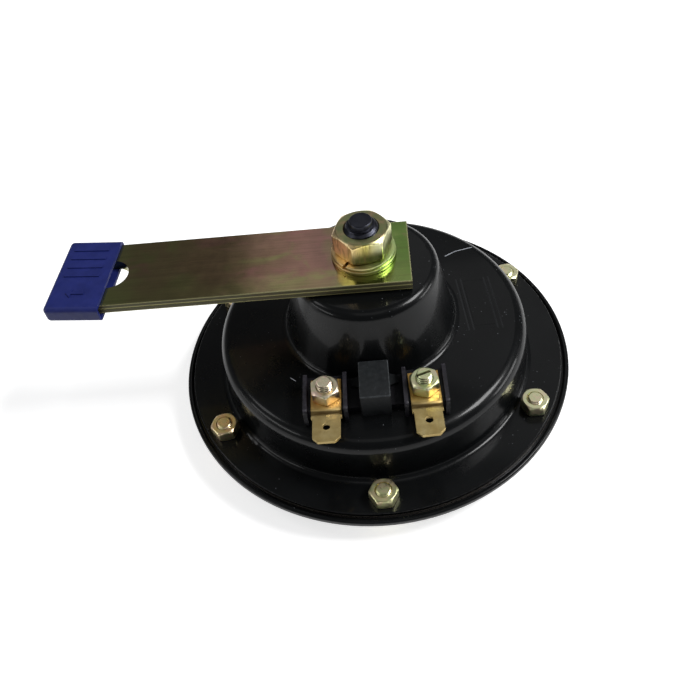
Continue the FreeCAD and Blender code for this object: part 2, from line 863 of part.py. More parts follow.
def terminal_base(envelope):
    """The insulating moulding: a plate under each terminal, four ribs and a thin web."""
    foot = shoulder_z - over
    inner_rib, outer_rib = rib_offsets
    half_rib = rib_thickness / 2
    solids = []
    for side in (-1, 1):
        x0, x1 = sorted((side * (inner_rib - half_rib), side * base_half_width))
        solids.append(block(x0, x1, base_front_y, base_back_y, foot, base_top_z))
        for offset in rib_offsets:
            x = side * offset
            rib = block(x - half_rib, x + half_rib, rib_front_y, base_back_y, foot,
                        base_top_z + rib_height)
            front = [e for e in rib.Edges if e.BoundBox.Center.z > base_top_z + rib_height - same
                     and e.BoundBox.XLength > half_rib]
            solids.append(rib.makeFillet(rib_thickness, front))
    body = turned(solids[0].fuse(solids[1:]), housing_turn).fuse(base_web(0.0))
    x, y = adjuster_place()
    body = body.cut(cylinder(adjuster_head_radius + slide_gap, foot, base_top_z, x, y))
    body = body.cut(envelope)
    for x, y in terminal_places():
        low = drum_top_z(math.hypot(x, y)) - housing_sheet
        body = body.fuse(cylinder(spigot_radius, low, base_top_z - spigot_overlap, x, y))
        body = body.cut(cylinder(screw_radius + hole_gap, low - over, base_top_z + over, x, y))
    return body.removeSplitter()


def terminal_tab(index):
    """A blade terminal: a wide root under the nut, a step down, and the blade."""
    x, y = terminal_places()[index]
    back = y + tab_root_back
    blade_z = tab_top - tab_step
    shoulder_y = tab_bend_y - tab_step / 2 - tab_shoulder_length
    tip_y = shoulder_y - tab_blade_length
    points = [(back, tab_top), (tab_bend_y, tab_top), (tab_bend_y - tab_step / 2, blade_z),
              (tip_y, blade_z)]
    bends = [tab_bend_inner + tab_thickness, tab_bend_inner]

    def in_side_view(point):
        return vec(x - tab_root_width / 2, point[0], point[1])

    strip = sheet_face(points, bends, tab_thickness, 1, in_side_view)
    strip = strip.extrude(vec(tab_root_width, 0, 0))
    half = tab_blade_width / 2
    waist = tab_tip_chamfer
    outline = [(x - half, tip_y + waist), (x - half + waist, tip_y), (x + half - waist, tip_y),
               (x + half, tip_y + waist), (x + half, shoulder_y), (x + tab_root_width, shoulder_y),
               (x + tab_root_width, back + over), (x - tab_root_width, back + over),
               (x - tab_root_width, shoulder_y), (x - half, shoulder_y)]
    wire = Part.makePolygon([vec(a, b, 0) for a, b in outline + outline[:1]])
    plan = Part.Face(wire).extrude(vec(0, 0, big_nut_top))
    strip = strip.common(plan)
    hole_y = tip_y + tab_hole_from_tip
    strip = strip.cut(cylinder(tab_hole_radius, 0, big_nut_top, x, hole_y))
    strip = strip.cut(cylinder(screw_radius + hole_gap, 0, big_nut_top, x, y))
    return turned(strip, terminal_turns[index], (x, y))


def terminal_stud(index):
    x, y = terminal_places()[index]
    low = stud_head_underside(x, y) + terminal_head_height
    end = tab_top + small_nut_height + terminal_stud_standout
    shank = cylinder(screw_radius, low, end, x, y)
    shank = shank.makeChamfer(screw_end_chamfer, circle_edges(shank, screw_radius, end))
    head = cylinder(terminal_head_radius, low - terminal_head_height, low, x, y)
    return shank.fuse(head).removeSplitter()


def terminal_nut(index):
    x, y = terminal_places()[index]
    return hex_nut(small_nut_flats, small_nut_height, screw_radius + thread_gap, x, y, tab_top,
                   terminal_nut_turns[index])


def inner_insulators(cavity):
    """Fibre washers under the drum's top, shaped to its slope."""
    solids = []
    for x, y in terminal_places():
        under = drum_top_z(math.hypot(x, y)) - housing_sheet
        washer = tube(inner_insulator_radius, screw_radius + hole_gap,
                      under - inner_insulator_thickness, under + over, x, y)
        washer = washer.common(cavity)
        solids.append(washer.cut(cylinder(spigot_radius + hole_gap, under, under + 2 * over, x, y)))
    return Part.makeCompound(solids)


def lead(points):
    """A stiff enamelled wire along straight runs joined by arcs."""
    bends = [lead_bend] * (len(points) - 2)
    path = Part.Wire(rounded_edges(points, bends, lambda p: p))
    along = (points[1] - points[0]).normalize()
    end = Part.Wire(Part.Circle(points[0], along, lead_radius).toShape())
    return path.makePipeShell([end], True, False)


def stud_head_underside(x, y):
    under = drum_top_z(math.hypot(x, y)) - housing_sheet
    return under - inner_insulator_thickness - terminal_head_height


def lead_hole_angles():
    """Where the winding's two ends pass down through the yoke plate."""
    x, y = terminal_places()[0]
    return [math.degrees(math.atan2(y, x)), fixed_lead_angle]


def coil_leads():
    """From the winding to the left terminal, and to the fixed contact's arm."""
    start_z = yoke_top + bobbin_wall + lead_rise
    solids = []
    for k, angle in enumerate(lead_hole_angles()):
        ax, ay = on_circle(winding_radius + lead_touch, angle)
        bx, by = on_circle(lead_hole_circle, angle)
        points = [vec(ax, ay, start_z), vec(bx, by, start_z)]
        if k == 0:
            x, y = terminal_places()[0]
            run_z = stud_head_underside(x, y) - lead_radius - lead_touch
            points += [vec(bx, by, run_z), vec(x, y, run_z)]
        else:
            points.append(vec(bx, by, fixed_arm_top))
        solids.append(lead(points))
    return Part.makeCompound(solids)


def breaker_lead():
    """From the moving arm's rivet to the right terminal."""
    x0, y0 = breaker_rivet_places()[0]
    x1, y1 = terminal_places()[1]
    high = arm_bottom - arm_gap - rivet_head_height
    low = high - breaker_lead_drop
    return lead([vec(x0, y0, high), vec(x0, y0, low), vec(x1, y1, low),
                 vec(x1, y1, stud_head_underside(x1, y1))])


def export(name, shape):
    solids = shape.Solids
    kept = solids[0] if len(solids) == 1 else Part.makeCompound(solids)
    if not kept.isValid():
        print("not valid:", name)
    kept.exportStep(os.path.join("parts", name + ".step"))
    print(name, len(solids), round(sum(s.Volume for s in solids), 2))


def main():
    envelope = housing_envelope()
    cavity = housing_cavity()
    export("housing", housing())
    export("front_cover", front_cover())
    export("front_gasket", rim_ring(gasket_inner_radius, ring_top, front_gasket_top))
    export("rear_gasket", rim_ring(gasket_inner_radius, diaphragm_top, rear_gasket_top))
    export("diaphragm", diaphragm())
    export("flange_screws", flange_screws())
    export("flange_nuts", flange_nuts())
    export("pole_core", pole_core())
    export("seat_washer", tube(seat_washer_radius, stud_hole_radius, turret_top, bracket_bottom))
    export("bracket_lower_leaf", leaf(bracket_bottom))
    export("bracket_upper_leaf", leaf(bracket_bottom + leaf_thickness))
    export("flat_washer", tube(flat_washer_radius, stud_hole_radius, bracket_top, spring_washer_bottom))
    export("spring_washer", spring_washer())
    export("mounting_nut", hex_nut(big_nut_flats, big_nut_height, stud_radius + thread_gap, 0, 0,
                                   big_nut_bottom, big_nut_turn))
    export("protective_cap", protective_cap())
    export("armature", armature())
    export("armature_spacer", washer_on_stem(front_gasket_top, spacer_height))
    export("tone_disc", tone_disc())
    export("armature_washer", washer_on_stem(tone_disc_bottom, clamp_washer_thickness))
    export("armature_nut", hex_nut(stem_nut_flats, stem_nut_height, stem_radius + thread_gap, 0, 0,
                                   clamp_washer_bottom - stem_nut_height, 0.0))
    export("coil_bobbin", coil_bobbin())
    export("coil_winding", coil_winding())
    export("yoke_plate", yoke_plate())
    export("moving_arm_pad", moving_pad())
    export("fixed_arm_pad", fixed_pad())
    export("breaker_rivets", breaker_rivets())
    export("moving_arm", moving_arm())
    export("moving_contact", moving_contact())
    export("fixed_contact", fixed_contact())
    export("fixed_arm", fixed_arm())
    export("adjusting_screw", adjusting_screw())
    export("adjuster_cover", adjuster_cover(envelope))
    export("terminal_base", terminal_base(envelope))
    export("inner_insulators", inner_insulators(cavity))
    export("coil_leads", coil_leads())
    export("breaker_lead", breaker_lead())
    for index, side in enumerate(("left", "right")):
        export("terminal_tab_" + side, terminal_tab(index))
        export("terminal_stud_" + side, terminal_stud(index))
        export("terminal_nut_" + side, terminal_nut(index))


main()
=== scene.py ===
import bpy
import math
from mathutils import Matrix, Vector


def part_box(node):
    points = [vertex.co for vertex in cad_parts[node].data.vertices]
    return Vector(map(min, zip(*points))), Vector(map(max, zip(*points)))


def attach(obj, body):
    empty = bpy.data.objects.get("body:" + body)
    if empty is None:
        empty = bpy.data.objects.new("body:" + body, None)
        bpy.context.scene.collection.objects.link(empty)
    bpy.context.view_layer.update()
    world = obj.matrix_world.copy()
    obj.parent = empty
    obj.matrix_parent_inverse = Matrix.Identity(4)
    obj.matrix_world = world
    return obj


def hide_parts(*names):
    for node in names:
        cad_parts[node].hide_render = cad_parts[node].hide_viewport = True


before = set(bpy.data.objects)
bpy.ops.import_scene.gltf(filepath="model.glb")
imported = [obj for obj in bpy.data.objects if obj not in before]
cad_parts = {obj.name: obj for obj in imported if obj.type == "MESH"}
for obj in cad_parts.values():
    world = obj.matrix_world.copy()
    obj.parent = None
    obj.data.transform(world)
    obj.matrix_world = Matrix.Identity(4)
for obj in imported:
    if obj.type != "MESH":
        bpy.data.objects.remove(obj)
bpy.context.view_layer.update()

MM = 0.001
TAU = 2 * math.pi
X, Y, Z = 0, 1, 2
LOW, HIGH = 0, 1


def edge(node, side, axis, digits=2):
    """Where the box of a CAD node ends, in millimetres."""
    return round(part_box(node)[side][axis] / MM, digits)


# Fasteners, in millimetres and degrees; threads, heads and holes are given by their radius, and threads
# start out of sight in their nuts
SCREW_CIRCLE = 43.75
SCREW_ANGLES = [-149.3 + 60 * k for k in range(6)]
RIM_NUT_TURNS = (10.0, 1.5, 0.0, 12.0, 50.0, 21.0)
TERMINAL_NUT_TURNS = (35.0, 41.0)
SMALL_FLATS = 6.1
SMALL_THREAD = 1.8
SMALL_CORE = SMALL_THREAD - 0.38
RIM_PITCH = 0.6
TERMINAL_PITCH = 0.7
NUT_FIT = 0.05
THREAD_START_IN_NUT = 1.3
SCREW_HEAD = 3.8
SCREW_HEAD_HEIGHT = 2.5
SCREW_HEAD_ROUND = 1.0
SCREW_SLOT_HALF_WIDTH = 0.5
SCREW_SLOT_DEPTH = 1.1
TERMINAL_HEAD = 3.0
TERMINAL_HEAD_HEIGHT = 1.0
STUD_SLOT_HALF_WIDTH = 0.32
STUD_SLOT_DEPTH = 0.45
STUD_SLOT_TURN = 20.0
BIG_FLATS = 12.0
BIG_NUT_TURN = 10.5
STUD_THREAD = 3.9
STUD_PITCH = 1.25
STUD_SHANK = 3.3
STUD_THREAD_HIDDEN = 2.0
STUD_HOLE = 4.05
DOG = 2.6
DOG_HEIGHT = 1.3
DOG_ROUND = 0.28
HOUSING_SHEET = 1.0
SPRING_GAP = 0.8
SPRING_SLANT = 20.0
SPRING_TURN = -128.0

# Heights and edges that the CAD part gives
FLANGE_TOP = edge("flange_nuts", LOW, Z)
RIM_NUT_TOP = edge("flange_nuts", HIGH, Z)
RIM_SCREW_LOW = edge("flange_screws", LOW, Z)
RIM_SCREW_END = edge("flange_screws", HIGH, Z)
TAB_TOP = edge("terminal_nut_left", LOW, Z)
TERMINAL_NUT_TOP = edge("terminal_nut_left", HIGH, Z)
TERMINAL_STUD_LOW = edge("terminal_stud_left", LOW, Z)
TERMINAL_STUD_END = edge("terminal_stud_left", HIGH, Z)
TERMINALS = [(edge(stud, HIGH, X, 4) - TERMINAL_HEAD, (edge(stud, LOW, Y, 4) + edge(stud, HIGH, Y, 4)) / 2)
             for stud in ("terminal_stud_left", "terminal_stud_right")]
BIG_NUT_LOW = edge("mounting_nut", LOW, Z)
BIG_NUT_TOP = edge("mounting_nut", HIGH, Z)
CORE = edge("pole_core", HIGH, X)
CORE_LOW = edge("pole_core", LOW, Z)
CORE_TOP = edge("housing", HIGH, Z) - HOUSING_SHEET
STUD_END = edge("pole_core", HIGH, Z)
BRACKET_SIDE = edge("bracket_upper_leaf", HIGH, Y)
BRACKET_END = edge("bracket_upper_leaf", HIGH, X)
BRACKET_TOP = edge("bracket_upper_leaf", HIGH, Z)
LEAF_JOINT = edge("bracket_upper_leaf", LOW, Z)
BRACKET_LOW = edge("bracket_lower_leaf", LOW, Z)
RIB_TOP = edge("terminal_base", HIGH, Z)
BLOCK_TOP = edge("adjuster_cover", HIGH, Z, 1)

# The frame of double lines on the drum's top, of which the long ones show, with a painted highlight standing
# for their relief; a line fades between two distances from its middle, and at its ends
FRAME_CENTRE = (27.23, 1.95)
FRAME_SIZE = (8.3, 18.3)
FRAME_SPACING = 1.2
FRAME_TURN = 4.7
FRAME_LINE_EDGES = (0.30, 0.05)
FRAME_FADE = 0.5


class Finish:
    """A procedural material. Textures are laid out in the part's own millimetres."""

    def __init__(self, name, **sockets):
        self.material = bpy.data.materials.new(name)
        self.material.use_nodes = True
        self.tree = self.material.node_tree
        self.shader = self.tree.nodes["Principled BSDF"]
        for key, value in sockets.items():
            socket = self.shader.inputs[key.replace("_", " ")]
            socket.default_value = (*value, 1.0) if isinstance(value, tuple) else value
        place = self.tree.nodes.new("ShaderNodeTexCoord")
        scaled = self.tree.nodes.new("ShaderNodeVectorMath")
        scaled.operation = "SCALE"
        scaled.inputs["Scale"].default_value = 1 / MM
        self.tree.links.new(place.outputs["Object"], scaled.inputs[0])
        self.place = scaled.outputs[0]
        self.sheared = None

    def put(self, value, socket):
        """Links or sets a socket, whatever the value is."""
        if isinstance(value, bpy.types.NodeSocket):
            self.tree.links.new(value, socket)
        elif isinstance(value, tuple) and len(socket.default_value) == 4:
            socket.default_value = (*value, 1.0)
        else:
            socket.default_value = value

    def calc(self, operation, a, b=0.0):
        node = self.tree.nodes.new("ShaderNodeMath")
        node.operation = operation
        self.put(a, node.inputs[0])
        self.put(b, node.inputs[1])
        return node.outputs[0]

    def fit(self, value, low, high, to_low=0.0, to_high=1.0):
        """A smooth step from to_low at low to to_high at high."""
        node = self.tree.nodes.new("ShaderNodeMapRange")
        node.interpolation_type = "SMOOTHSTEP"
        for number, key in ((value, "Value"), (low, "From Min"), (high, "From Max"),
                            (to_low, "To Min"), (to_high, "To Max")):
            self.put(number, node.inputs[key])
        return node.outputs[0]

    def moved(self, stretch=(1.0, 1.0, 1.0), shift=(0.0, 0.0, 0.0), turn=0.0):
        """The place on the part, stretched, turned about the vertical and shifted."""
        node = self.tree.nodes.new("ShaderNodeMapping")
        self.tree.links.new(self.place, node.inputs["Vector"])
        node.inputs["Scale"].default_value = stretch
        node.inputs["Location"].default_value = shift
        node.inputs["Rotation"].default_value = (0.0, 0.0, math.radians(turn))
        return node.outputs[0]

    def noise(self, scale, detail=2.0, rough=0.5, distortion=0.0, **place):
        node = self.tree.nodes.new("ShaderNodeTexNoise")
        self.tree.links.new(self.moved(**place) if place else self.place, node.inputs["Vector"])
        node.inputs["Scale"].default_value = scale
        node.inputs["Detail"].default_value = detail
        node.inputs["Roughness"].default_value = rough
        node.inputs["Distortion"].default_value = distortion
        return node.outputs["Fac"]

    def cells(self, scale, **place):
        node = self.tree.nodes.new("ShaderNodeTexVoronoi")
        self.tree.links.new(self.moved(**place) if place else self.place, node.inputs["Vector"])
        node.inputs["Scale"].default_value = scale
        return node.outputs["Distance"]

    def bands(self, scale, direction):
        node = self.tree.nodes.new("ShaderNodeTexWave")
        node.bands_direction = direction
        self.tree.links.new(self.place, node.inputs["Vector"])
        node.inputs["Scale"].default_value = scale
        return node.outputs["Fac"]

    def ramp(self, value, *stops):
        node = self.tree.nodes.new("ShaderNodeValToRGB")
        while len(node.color_ramp.elements) < len(stops):
            node.color_ramp.elements.new(0.5)
        for element, (position, colour) in zip(node.color_ramp.elements, stops):
            element.position = position
            element.color = (*colour, 1.0)
        self.tree.links.new(value, node.inputs["Fac"])
        return node.outputs["Color"]

    def mix(self, share, a, b):
        """Colour a with a share of colour b over it."""
        node = self.tree.nodes.new("ShaderNodeMix")
        node.data_type = "RGBA"
        self.put(share, node.inputs[0])
        self.put(a, node.inputs[6])
        self.put(b, node.inputs[7])
        return node.outputs[2]

    def axis(self, letter):
        node = self.tree.nodes.new("ShaderNodeSeparateXYZ")
        self.tree.links.new(self.place, node.inputs[0])
        return node.outputs[letter]

    def bump(self, height, distance, under=None):
        node = self.tree.nodes.new("ShaderNodeBump")
        self.tree.links.new(height, node.inputs["Height"])
        node.inputs["Distance"].default_value = distance * MM
        if under is not None:
            self.tree.links.new(under, node.inputs["Normal"])
        return node.outputs["Normal"]

    def scratch(self, start, end, width):
        """1 on a thin line between two places seen from above, in millimetres."""
        across = Vector((end[0] - start[0], end[1] - start[1]))
        long = across.length
        along = across / long
        dx = self.calc("SUBTRACT", self.axis("X"), start[0])
        dy = self.calc("SUBTRACT", self.axis("Y"), start[1])
        run = self.calc("ADD", self.calc("MULTIPLY", dx, along.x),
                        self.calc("MULTIPLY", dy, along.y))
        off = self.calc("ABSOLUTE", self.calc("SUBTRACT", self.calc("MULTIPLY", dx, along.y),
                                              self.calc("MULTIPLY", dy, along.x)))
        fade = 0.2
        inside = self.calc("MULTIPLY", self.fit(run, -fade, fade), self.fit(run, long + fade, long - fade))
        return self.calc("MULTIPLY", inside, self.fit(off, width, width * 0.3))

    def colour(self, value):
        self.tree.links.new(value, self.shader.inputs["Base Color"])

    def roughness(self, value):
        self.tree.links.new(value, self.shader.inputs["Roughness"])

    def normal(self, value):
        self.tree.links.new(value, self.shader.inputs["Normal"])


def pressed_line_highlight(f):
    """1 along the long lines of the frame on the drum's top, where a painted highlight stands for their
    pressed relief.
    """
    turn = math.radians(FRAME_TURN)
    dx = f.calc("SUBTRACT", f.axis("X"), FRAME_CENTRE[0])
    dy = f.calc("SUBTRACT", f.axis("Y"), FRAME_CENTRE[1])
    u = f.calc("ADD", f.calc("MULTIPLY", dx, math.cos(turn)), f.calc("MULTIPLY", dy, math.sin(turn)))
    v = f.calc("SUBTRACT", f.calc("MULTIPLY", dy, math.cos(turn)), f.calc("MULTIPLY", dx, math.sin(turn)))
    beside = f.calc("SUBTRACT", f.calc("ABSOLUTE", u), FRAME_SIZE[0] / 2)
    outer = f.fit(f.calc("ABSOLUTE", beside), *FRAME_LINE_EDGES)
    inner = f.fit(f.calc("ABSOLUTE", f.calc("ADD", beside, FRAME_SPACING)), *FRAME_LINE_EDGES)
    inside = f.fit(f.calc("ABSOLUTE", v), FRAME_SIZE[1] / 2, FRAME_SIZE[1] / 2 - FRAME_FADE)
    return f.calc("MULTIPLY", inside, f.calc("MAXIMUM", outer, inner))


def black_paint(name, scratched):
    """Satin black paint under a thin gloss, with white dust, lint and scratches, and, on paint that has
    scratches, a painted highlight along the frame's pressed lines.
    """
    f = Finish(name, Specular_IOR_Level=0.13, Coat_Weight=0.21, Coat_Roughness=0.09)
    tone = f.ramp(f.noise(0.05, 3.0), (0.3, (0.0022, 0.0025, 0.0028)), (0.7, (0.0046, 0.0052, 0.0056)))
    dust = f.calc("MULTIPLY", f.fit(f.cells(0.75), 0.12, 0.05), f.fit(f.noise(0.16, 2.0), 0.54, 0.66))
    lint = f.calc("MULTIPLY", f.fit(f.cells(0.35, stretch=(1.0, 3.0, 3.0), turn=35.0), 0.05, 0.025),
                  f.fit(f.noise(0.15, 1.0, shift=(9.0, 4.0, 2.0)), 0.55, 0.64))
    marks_and_line_highlight = f.calc("MULTIPLY", f.calc("MAXIMUM", dust, lint), 0.34)
    for start, end, width in scratched:
        marks_and_line_highlight = f.calc("MAXIMUM", marks_and_line_highlight, f.scratch(start, end, width))
    # A faint painted highlight along the frame's pressed lines
    if scratched:
        marks_and_line_highlight = f.calc("MAXIMUM", marks_and_line_highlight, f.calc("MULTIPLY", pressed_line_highlight(f), 0.026))
    f.colour(f.mix(marks_and_line_highlight, tone, (0.40, 0.42, 0.46)))
    haze = f.noise(0.18, 4.0, 0.6)
    f.roughness(f.fit(haze, 0.3, 0.75, 0.26, 0.35))
    f.normal(f.bump(f.noise(0.9, 2.0), 0.002))
    return f.material


def painted_thread_shade(f, tone, x, y, end):
    """Painted shade that darkens what lies between the crests of a stud's thread, and the slot in its end."""
    dx = f.calc("SUBTRACT", f.axis("X"), x)
    dy = f.calc("SUBTRACT", f.axis("Y"), y)
    radius = f.calc("POWER", f.calc("ADD", f.calc("POWER", dx, 2.0), f.calc("POWER", dy, 2.0)), 0.5)
    low = f.calc("MULTIPLY", f.fit(radius, SMALL_THREAD - 0.05, SMALL_THREAD - 0.22),
                 f.fit(f.axis("Z"), end - 0.30, end - 0.38))
    return f.mix(f.calc("MULTIPLY", low, 0.9), tone, (0.040, 0.030, 0.020))


def zinc(name, tones, film_scale, rough, shift=(0.0, 0.0, 0.0), uneven=0.0012, grain=None, thread=None):
    """Yellow-passivated zinc, whose thin film shifts between gold, green and pink.

    The function tones lays the piece's tones under the film, with painted light among them on the bracket and
    the big nut, and may set f.sheared, which is 1 on sheared sides.
    """
    f = Finish(name, Metallic=1.0)
    tone = tones(f, f.ramp(f.noise(film_scale, 2.0, 0.5, 0.4, shift=shift), *FILM))
    stain = f.fit(f.noise(film_scale * 5.0, 4.0, 0.6), 0.60, 0.80)
    tone = f.mix(f.calc("MULTIPLY", stain, 0.15), tone, (0.16, 0.13, 0.07))
    # Painted shade in a stud's thread grooves and in the slot of its end
    if thread is not None:
        tone = painted_thread_shade(f, tone, *thread)
    f.colour(tone)
    dull = f.fit(f.noise(film_scale * 2.5, 4.0, 0.6), 0.3, 0.7, *rough)
    if f.sheared is not None:
        f.put(f.fit(f.sheared, 0.0, 1.0, 1.0, 0.35), f.shader.inputs["Metallic"])
        dull = f.calc("MAXIMUM", dull, f.calc("MULTIPLY", f.sheared, 0.55))
    f.roughness(dull)
    fine = f.bump(f.noise(2.2, 3.0, 0.6), uneven)
    if grain is not None:
        fine = f.bump(f.noise(1.0, 3.0, 0.6, stretch=grain), 0.0025, fine)
    f.normal(fine)
    return f.material


def bracket_tone(f):
    """Green by the cap, olive, brown, mauve before the nut and green at the bracket's end; the tints are the
    film's, and the rise and fall of brightness along the length is painted reflection.
    """
    start, length = -72.0, 84.0
    wander = f.fit(f.noise(0.09, 3.0, 0.6, shift=(3.0, 8.0, 1.0)), 0.3, 0.7, -3.0, 3.0)
    place = f.calc("SUBTRACT", f.calc("ADD", f.axis("X"), wander), start)
    # The stops' brightness along the bracket is painted reflection; their hues are the film's
    return f.ramp(f.calc("DIVIDE", place, length),
                  (0.15, (0.360, 0.380, 0.150)), (0.24, (0.330, 0.265, 0.130)),
                  (0.37, (0.350, 0.245, 0.130)), (0.52, (0.260, 0.175, 0.100)),
                  (0.60, (0.300, 0.175, 0.128)), (0.70, (0.350, 0.190, 0.155)),
                  (0.77, (0.300, 0.165, 0.140)), (0.84, (0.215, 0.250, 0.090)),
                  (0.95, (0.150, 0.260, 0.060)))


def bracket_clouds(f, tone):
    """Green and mauve clouds, a greener near side, a painted reflection of the nut as a pale patch before it,
    and dark streaks.
    """
    cloud = {"detail": 3.0, "rough": 0.65, "distortion": 0.5, "stretch": (0.6, 1.0, 1.0)}
    green = f.fit(f.noise(0.11, shift=(5.0, 1.0, 0.0), **cloud), 0.50, 0.68)
    tone = f.mix(f.calc("MULTIPLY", green, 0.45), tone, (0.280, 0.330, 0.110))
    mauve = f.fit(f.noise(0.10, shift=(1.0, 7.0, 0.0), **cloud), 0.54, 0.70)
    tone = f.mix(f.calc("MULTIPLY", mauve, 0.45), tone, (0.420, 0.180, 0.180))
    wander = f.fit(f.noise(0.2, 2.0), 0.3, 0.7, -1.5, 1.5)
    near = f.fit(f.calc("ADD", f.axis("Y"), wander), -3.0, -8.5)
    tone = f.mix(f.calc("MULTIPLY", near, 0.35), tone, (0.330, 0.360, 0.130))
    # Painted reflection of the big nut, a pale patch on the bracket before it
    beside_nut = f.calc("MULTIPLY", f.fit(f.axis("X"), -8.0, -4.5), f.fit(f.axis("X"), 6.0, 2.0))
    painted_nut_reflection = f.calc("MULTIPLY", beside_nut, f.fit(f.axis("Y"), -5.0, -8.0))
    tone = f.mix(f.calc("MULTIPLY", painted_nut_reflection, 0.25), tone, (0.420, 0.480, 0.200))
    streak = f.noise(1.0, 4.0, 0.65, stretch=(0.05, 1.6, 1.0))
    return f.mix(f.fit(streak, 0.38, 0.72, 0.0, 0.22), tone, (0.100, 0.070, 0.040))


def bracket_sides(f, tone):
    """Painted highlights along the top edges, and dull sides darkened by painted shade, with a painted
    highlight line along each leaf's edge.
    """
    across = f.calc("ABSOLUTE", f.axis("Y"))
    # Painted highlight along the top edges of the sides and the end
    rubs_and_edge_highlight = f.calc("MAXIMUM", f.fit(across, BRACKET_SIDE - 0.30, BRACKET_SIDE - 0.1),
                    f.fit(f.axis("X"), BRACKET_END - 0.30, BRACKET_END - 0.1))
    tone = f.mix(f.calc("MULTIPLY", rubs_and_edge_highlight, 0.7), tone, (0.70, 0.68, 0.36))
    f.sheared = f.calc("MAXIMUM", f.fit(across, BRACKET_SIDE - 0.04, BRACKET_SIDE - 0.01),
                       f.fit(f.axis("X"), BRACKET_END - 0.04, BRACKET_END - 0.01))
    # Painted shade on the sheared sides, which are also dull
    tone = f.mix(f.calc("MULTIPLY", f.sheared, 0.95), tone, (0.032, 0.027, 0.008))
    # Painted highlight lines along the edges of each leaf on the sides
    lines = 0.0
    for height in (LEAF_JOINT + 0.14, BRACKET_TOP - 0.04, BRACKET_LOW + 0.12):
        off = f.calc("ABSOLUTE", f.calc("SUBTRACT", f.axis("Z"), height))
        lines = f.calc("MAXIMUM", f.fit(off, 0.20, 0.12), lines)
    return f.mix(f.calc("MULTIPLY", f.calc("MULTIPLY", f.sheared, lines), 0.85), tone, (0.42, 0.39, 0.17))


def bracket_film(f, film):
    return f.mix(0.02, bracket_sides(f, bracket_clouds(f, bracket_tone(f))), film)


def big_nut_film(f, film):
    """Orange on the left facets, gold in front turning to a painted dark green reflection low down, pale at
    the right and olive on top.
    """
    # The tints from facet to facet are partly the film's and partly painted reflection
    side = f.ramp(f.fit(f.axis("X"), -6.5, 6.5), (0.12, (0.98, 0.74, 0.42)), (0.34, (0.96, 0.74, 0.30)),
                  (0.60, (0.84, 0.74, 0.20)), (0.85, (0.90, 0.88, 0.52)))
    # Painted dark reflection on the lower front facets
    painted_low_reflection = f.fit(f.axis("Z"), BIG_NUT_TOP - 1.4, BIG_NUT_TOP - 4.2)
    low = f.calc("MULTIPLY", painted_low_reflection, f.fit(f.axis("X"), -3.5, -1.5))
    side = f.mix(f.calc("MULTIPLY", low, 0.96), side, (0.085, 0.105, 0.020))
    streak = f.noise(1.0, 3.0, 0.6, stretch=(1.5, 1.5, 0.25), shift=(6.0, 2.0, 0.0))
    side = f.mix(f.fit(streak, 0.46, 0.66, 0.0, 0.55), side, (0.26, 0.18, 0.06))
    top = f.fit(f.axis("Z"), BIG_NUT_TOP - 0.2, BIG_NUT_TOP - 0.05)
    patch = f.ramp(f.noise(0.55, 4.0, 0.7), (0.38, (0.40, 0.30, 0.17)), (0.50, (0.28, 0.27, 0.13)),
                   (0.62, (0.22, 0.26, 0.12)))
    return f.mix(0.05, f.mix(top, side, patch), film)


def washer_film(f, film):
    """Orange-gold on the left and green on the right."""
    side = f.ramp(f.fit(f.axis("X"), -7.5, 7.5), (0.12, (0.80, 0.52, 0.24)), (0.40, (0.64, 0.52, 0.24)),
                  (0.62, (0.60, 0.62, 0.24)), (0.88, (0.56, 0.72, 0.28)))
    return f.mix(0.2, side, film)


def small_film(f, film):
    """Each small nut and screw has its own tint, from pink at the left to olive at the right."""
    own = f.ramp(f.fit(f.axis("X"), -45.0, 45.0), (0.04, (0.86, 0.64, 0.42)), (0.20, (0.84, 0.62, 0.42)),
                 (0.30, (0.96, 0.78, 0.70)), (0.41, (0.96, 0.82, 0.70)), (0.47, (0.82, 0.78, 0.44)),
                 (0.55, (0.82, 0.78, 0.44)), (0.60, (0.78, 0.90, 0.56)), (0.68, (0.78, 0.90, 0.56)),
                 (0.86, (0.96, 0.92, 0.66)))
    return f.mix(0.45, own, film)


def plain_metal(name, dark, light, rough, grain=(1.0, 1.0, 1.0)):
    """Bare or blackened metal, brushed along the direction in which grain is smallest."""
    f = Finish(name, Metallic=1.0)
    f.colour(f.ramp(f.noise(0.3, 4.0, 0.6), (0.3, dark), (0.7, light)))
    f.roughness(f.fit(f.noise(1.2, 4.0, 0.6), 0.3, 0.7, rough - 0.06, rough + 0.08))
    f.normal(f.bump(f.noise(1.5, 4.0, 0.6, stretch=grain), 0.008))
    return f.material


def brass_tab():
    """Rolled brass, warmer on the root of the blade, with painted shade in the fold before it."""
    f = Finish("tab_brass_finish", Metallic=1.0)
    tone = f.ramp(f.noise(0.35, 4.0, 0.6, 0.4), (0.30, (0.450, 0.330, 0.130)), (0.52, (0.520, 0.405, 0.180)),
                  (0.72, (0.600, 0.490, 0.245)))
    warm = f.fit(f.axis("Y"), -31.5, -28.5)
    tone = f.mix(f.calc("MULTIPLY", warm, 0.6), tone, (0.760, 0.440, 0.110))
    # Painted shade in the fold before the blade
    painted_fold_shade = f.calc("MULTIPLY", f.fit(f.axis("Y"), -30.5, -30.8), f.fit(f.axis("Y"), -31.6, -31.2))
    tone = f.mix(f.calc("MULTIPLY", painted_fold_shade, 0.7), tone, (0.12, 0.070, 0.022))
    f.colour(tone)
    f.roughness(f.fit(f.noise(1.4, 4.0, 0.6), 0.3, 0.7, 0.42, 0.56))
    rolled = f.noise(1.0, 4.0, 0.7, stretch=(5.0, 0.25, 5.0))
    f.normal(f.bump(rolled, 0.010))
    return f.material


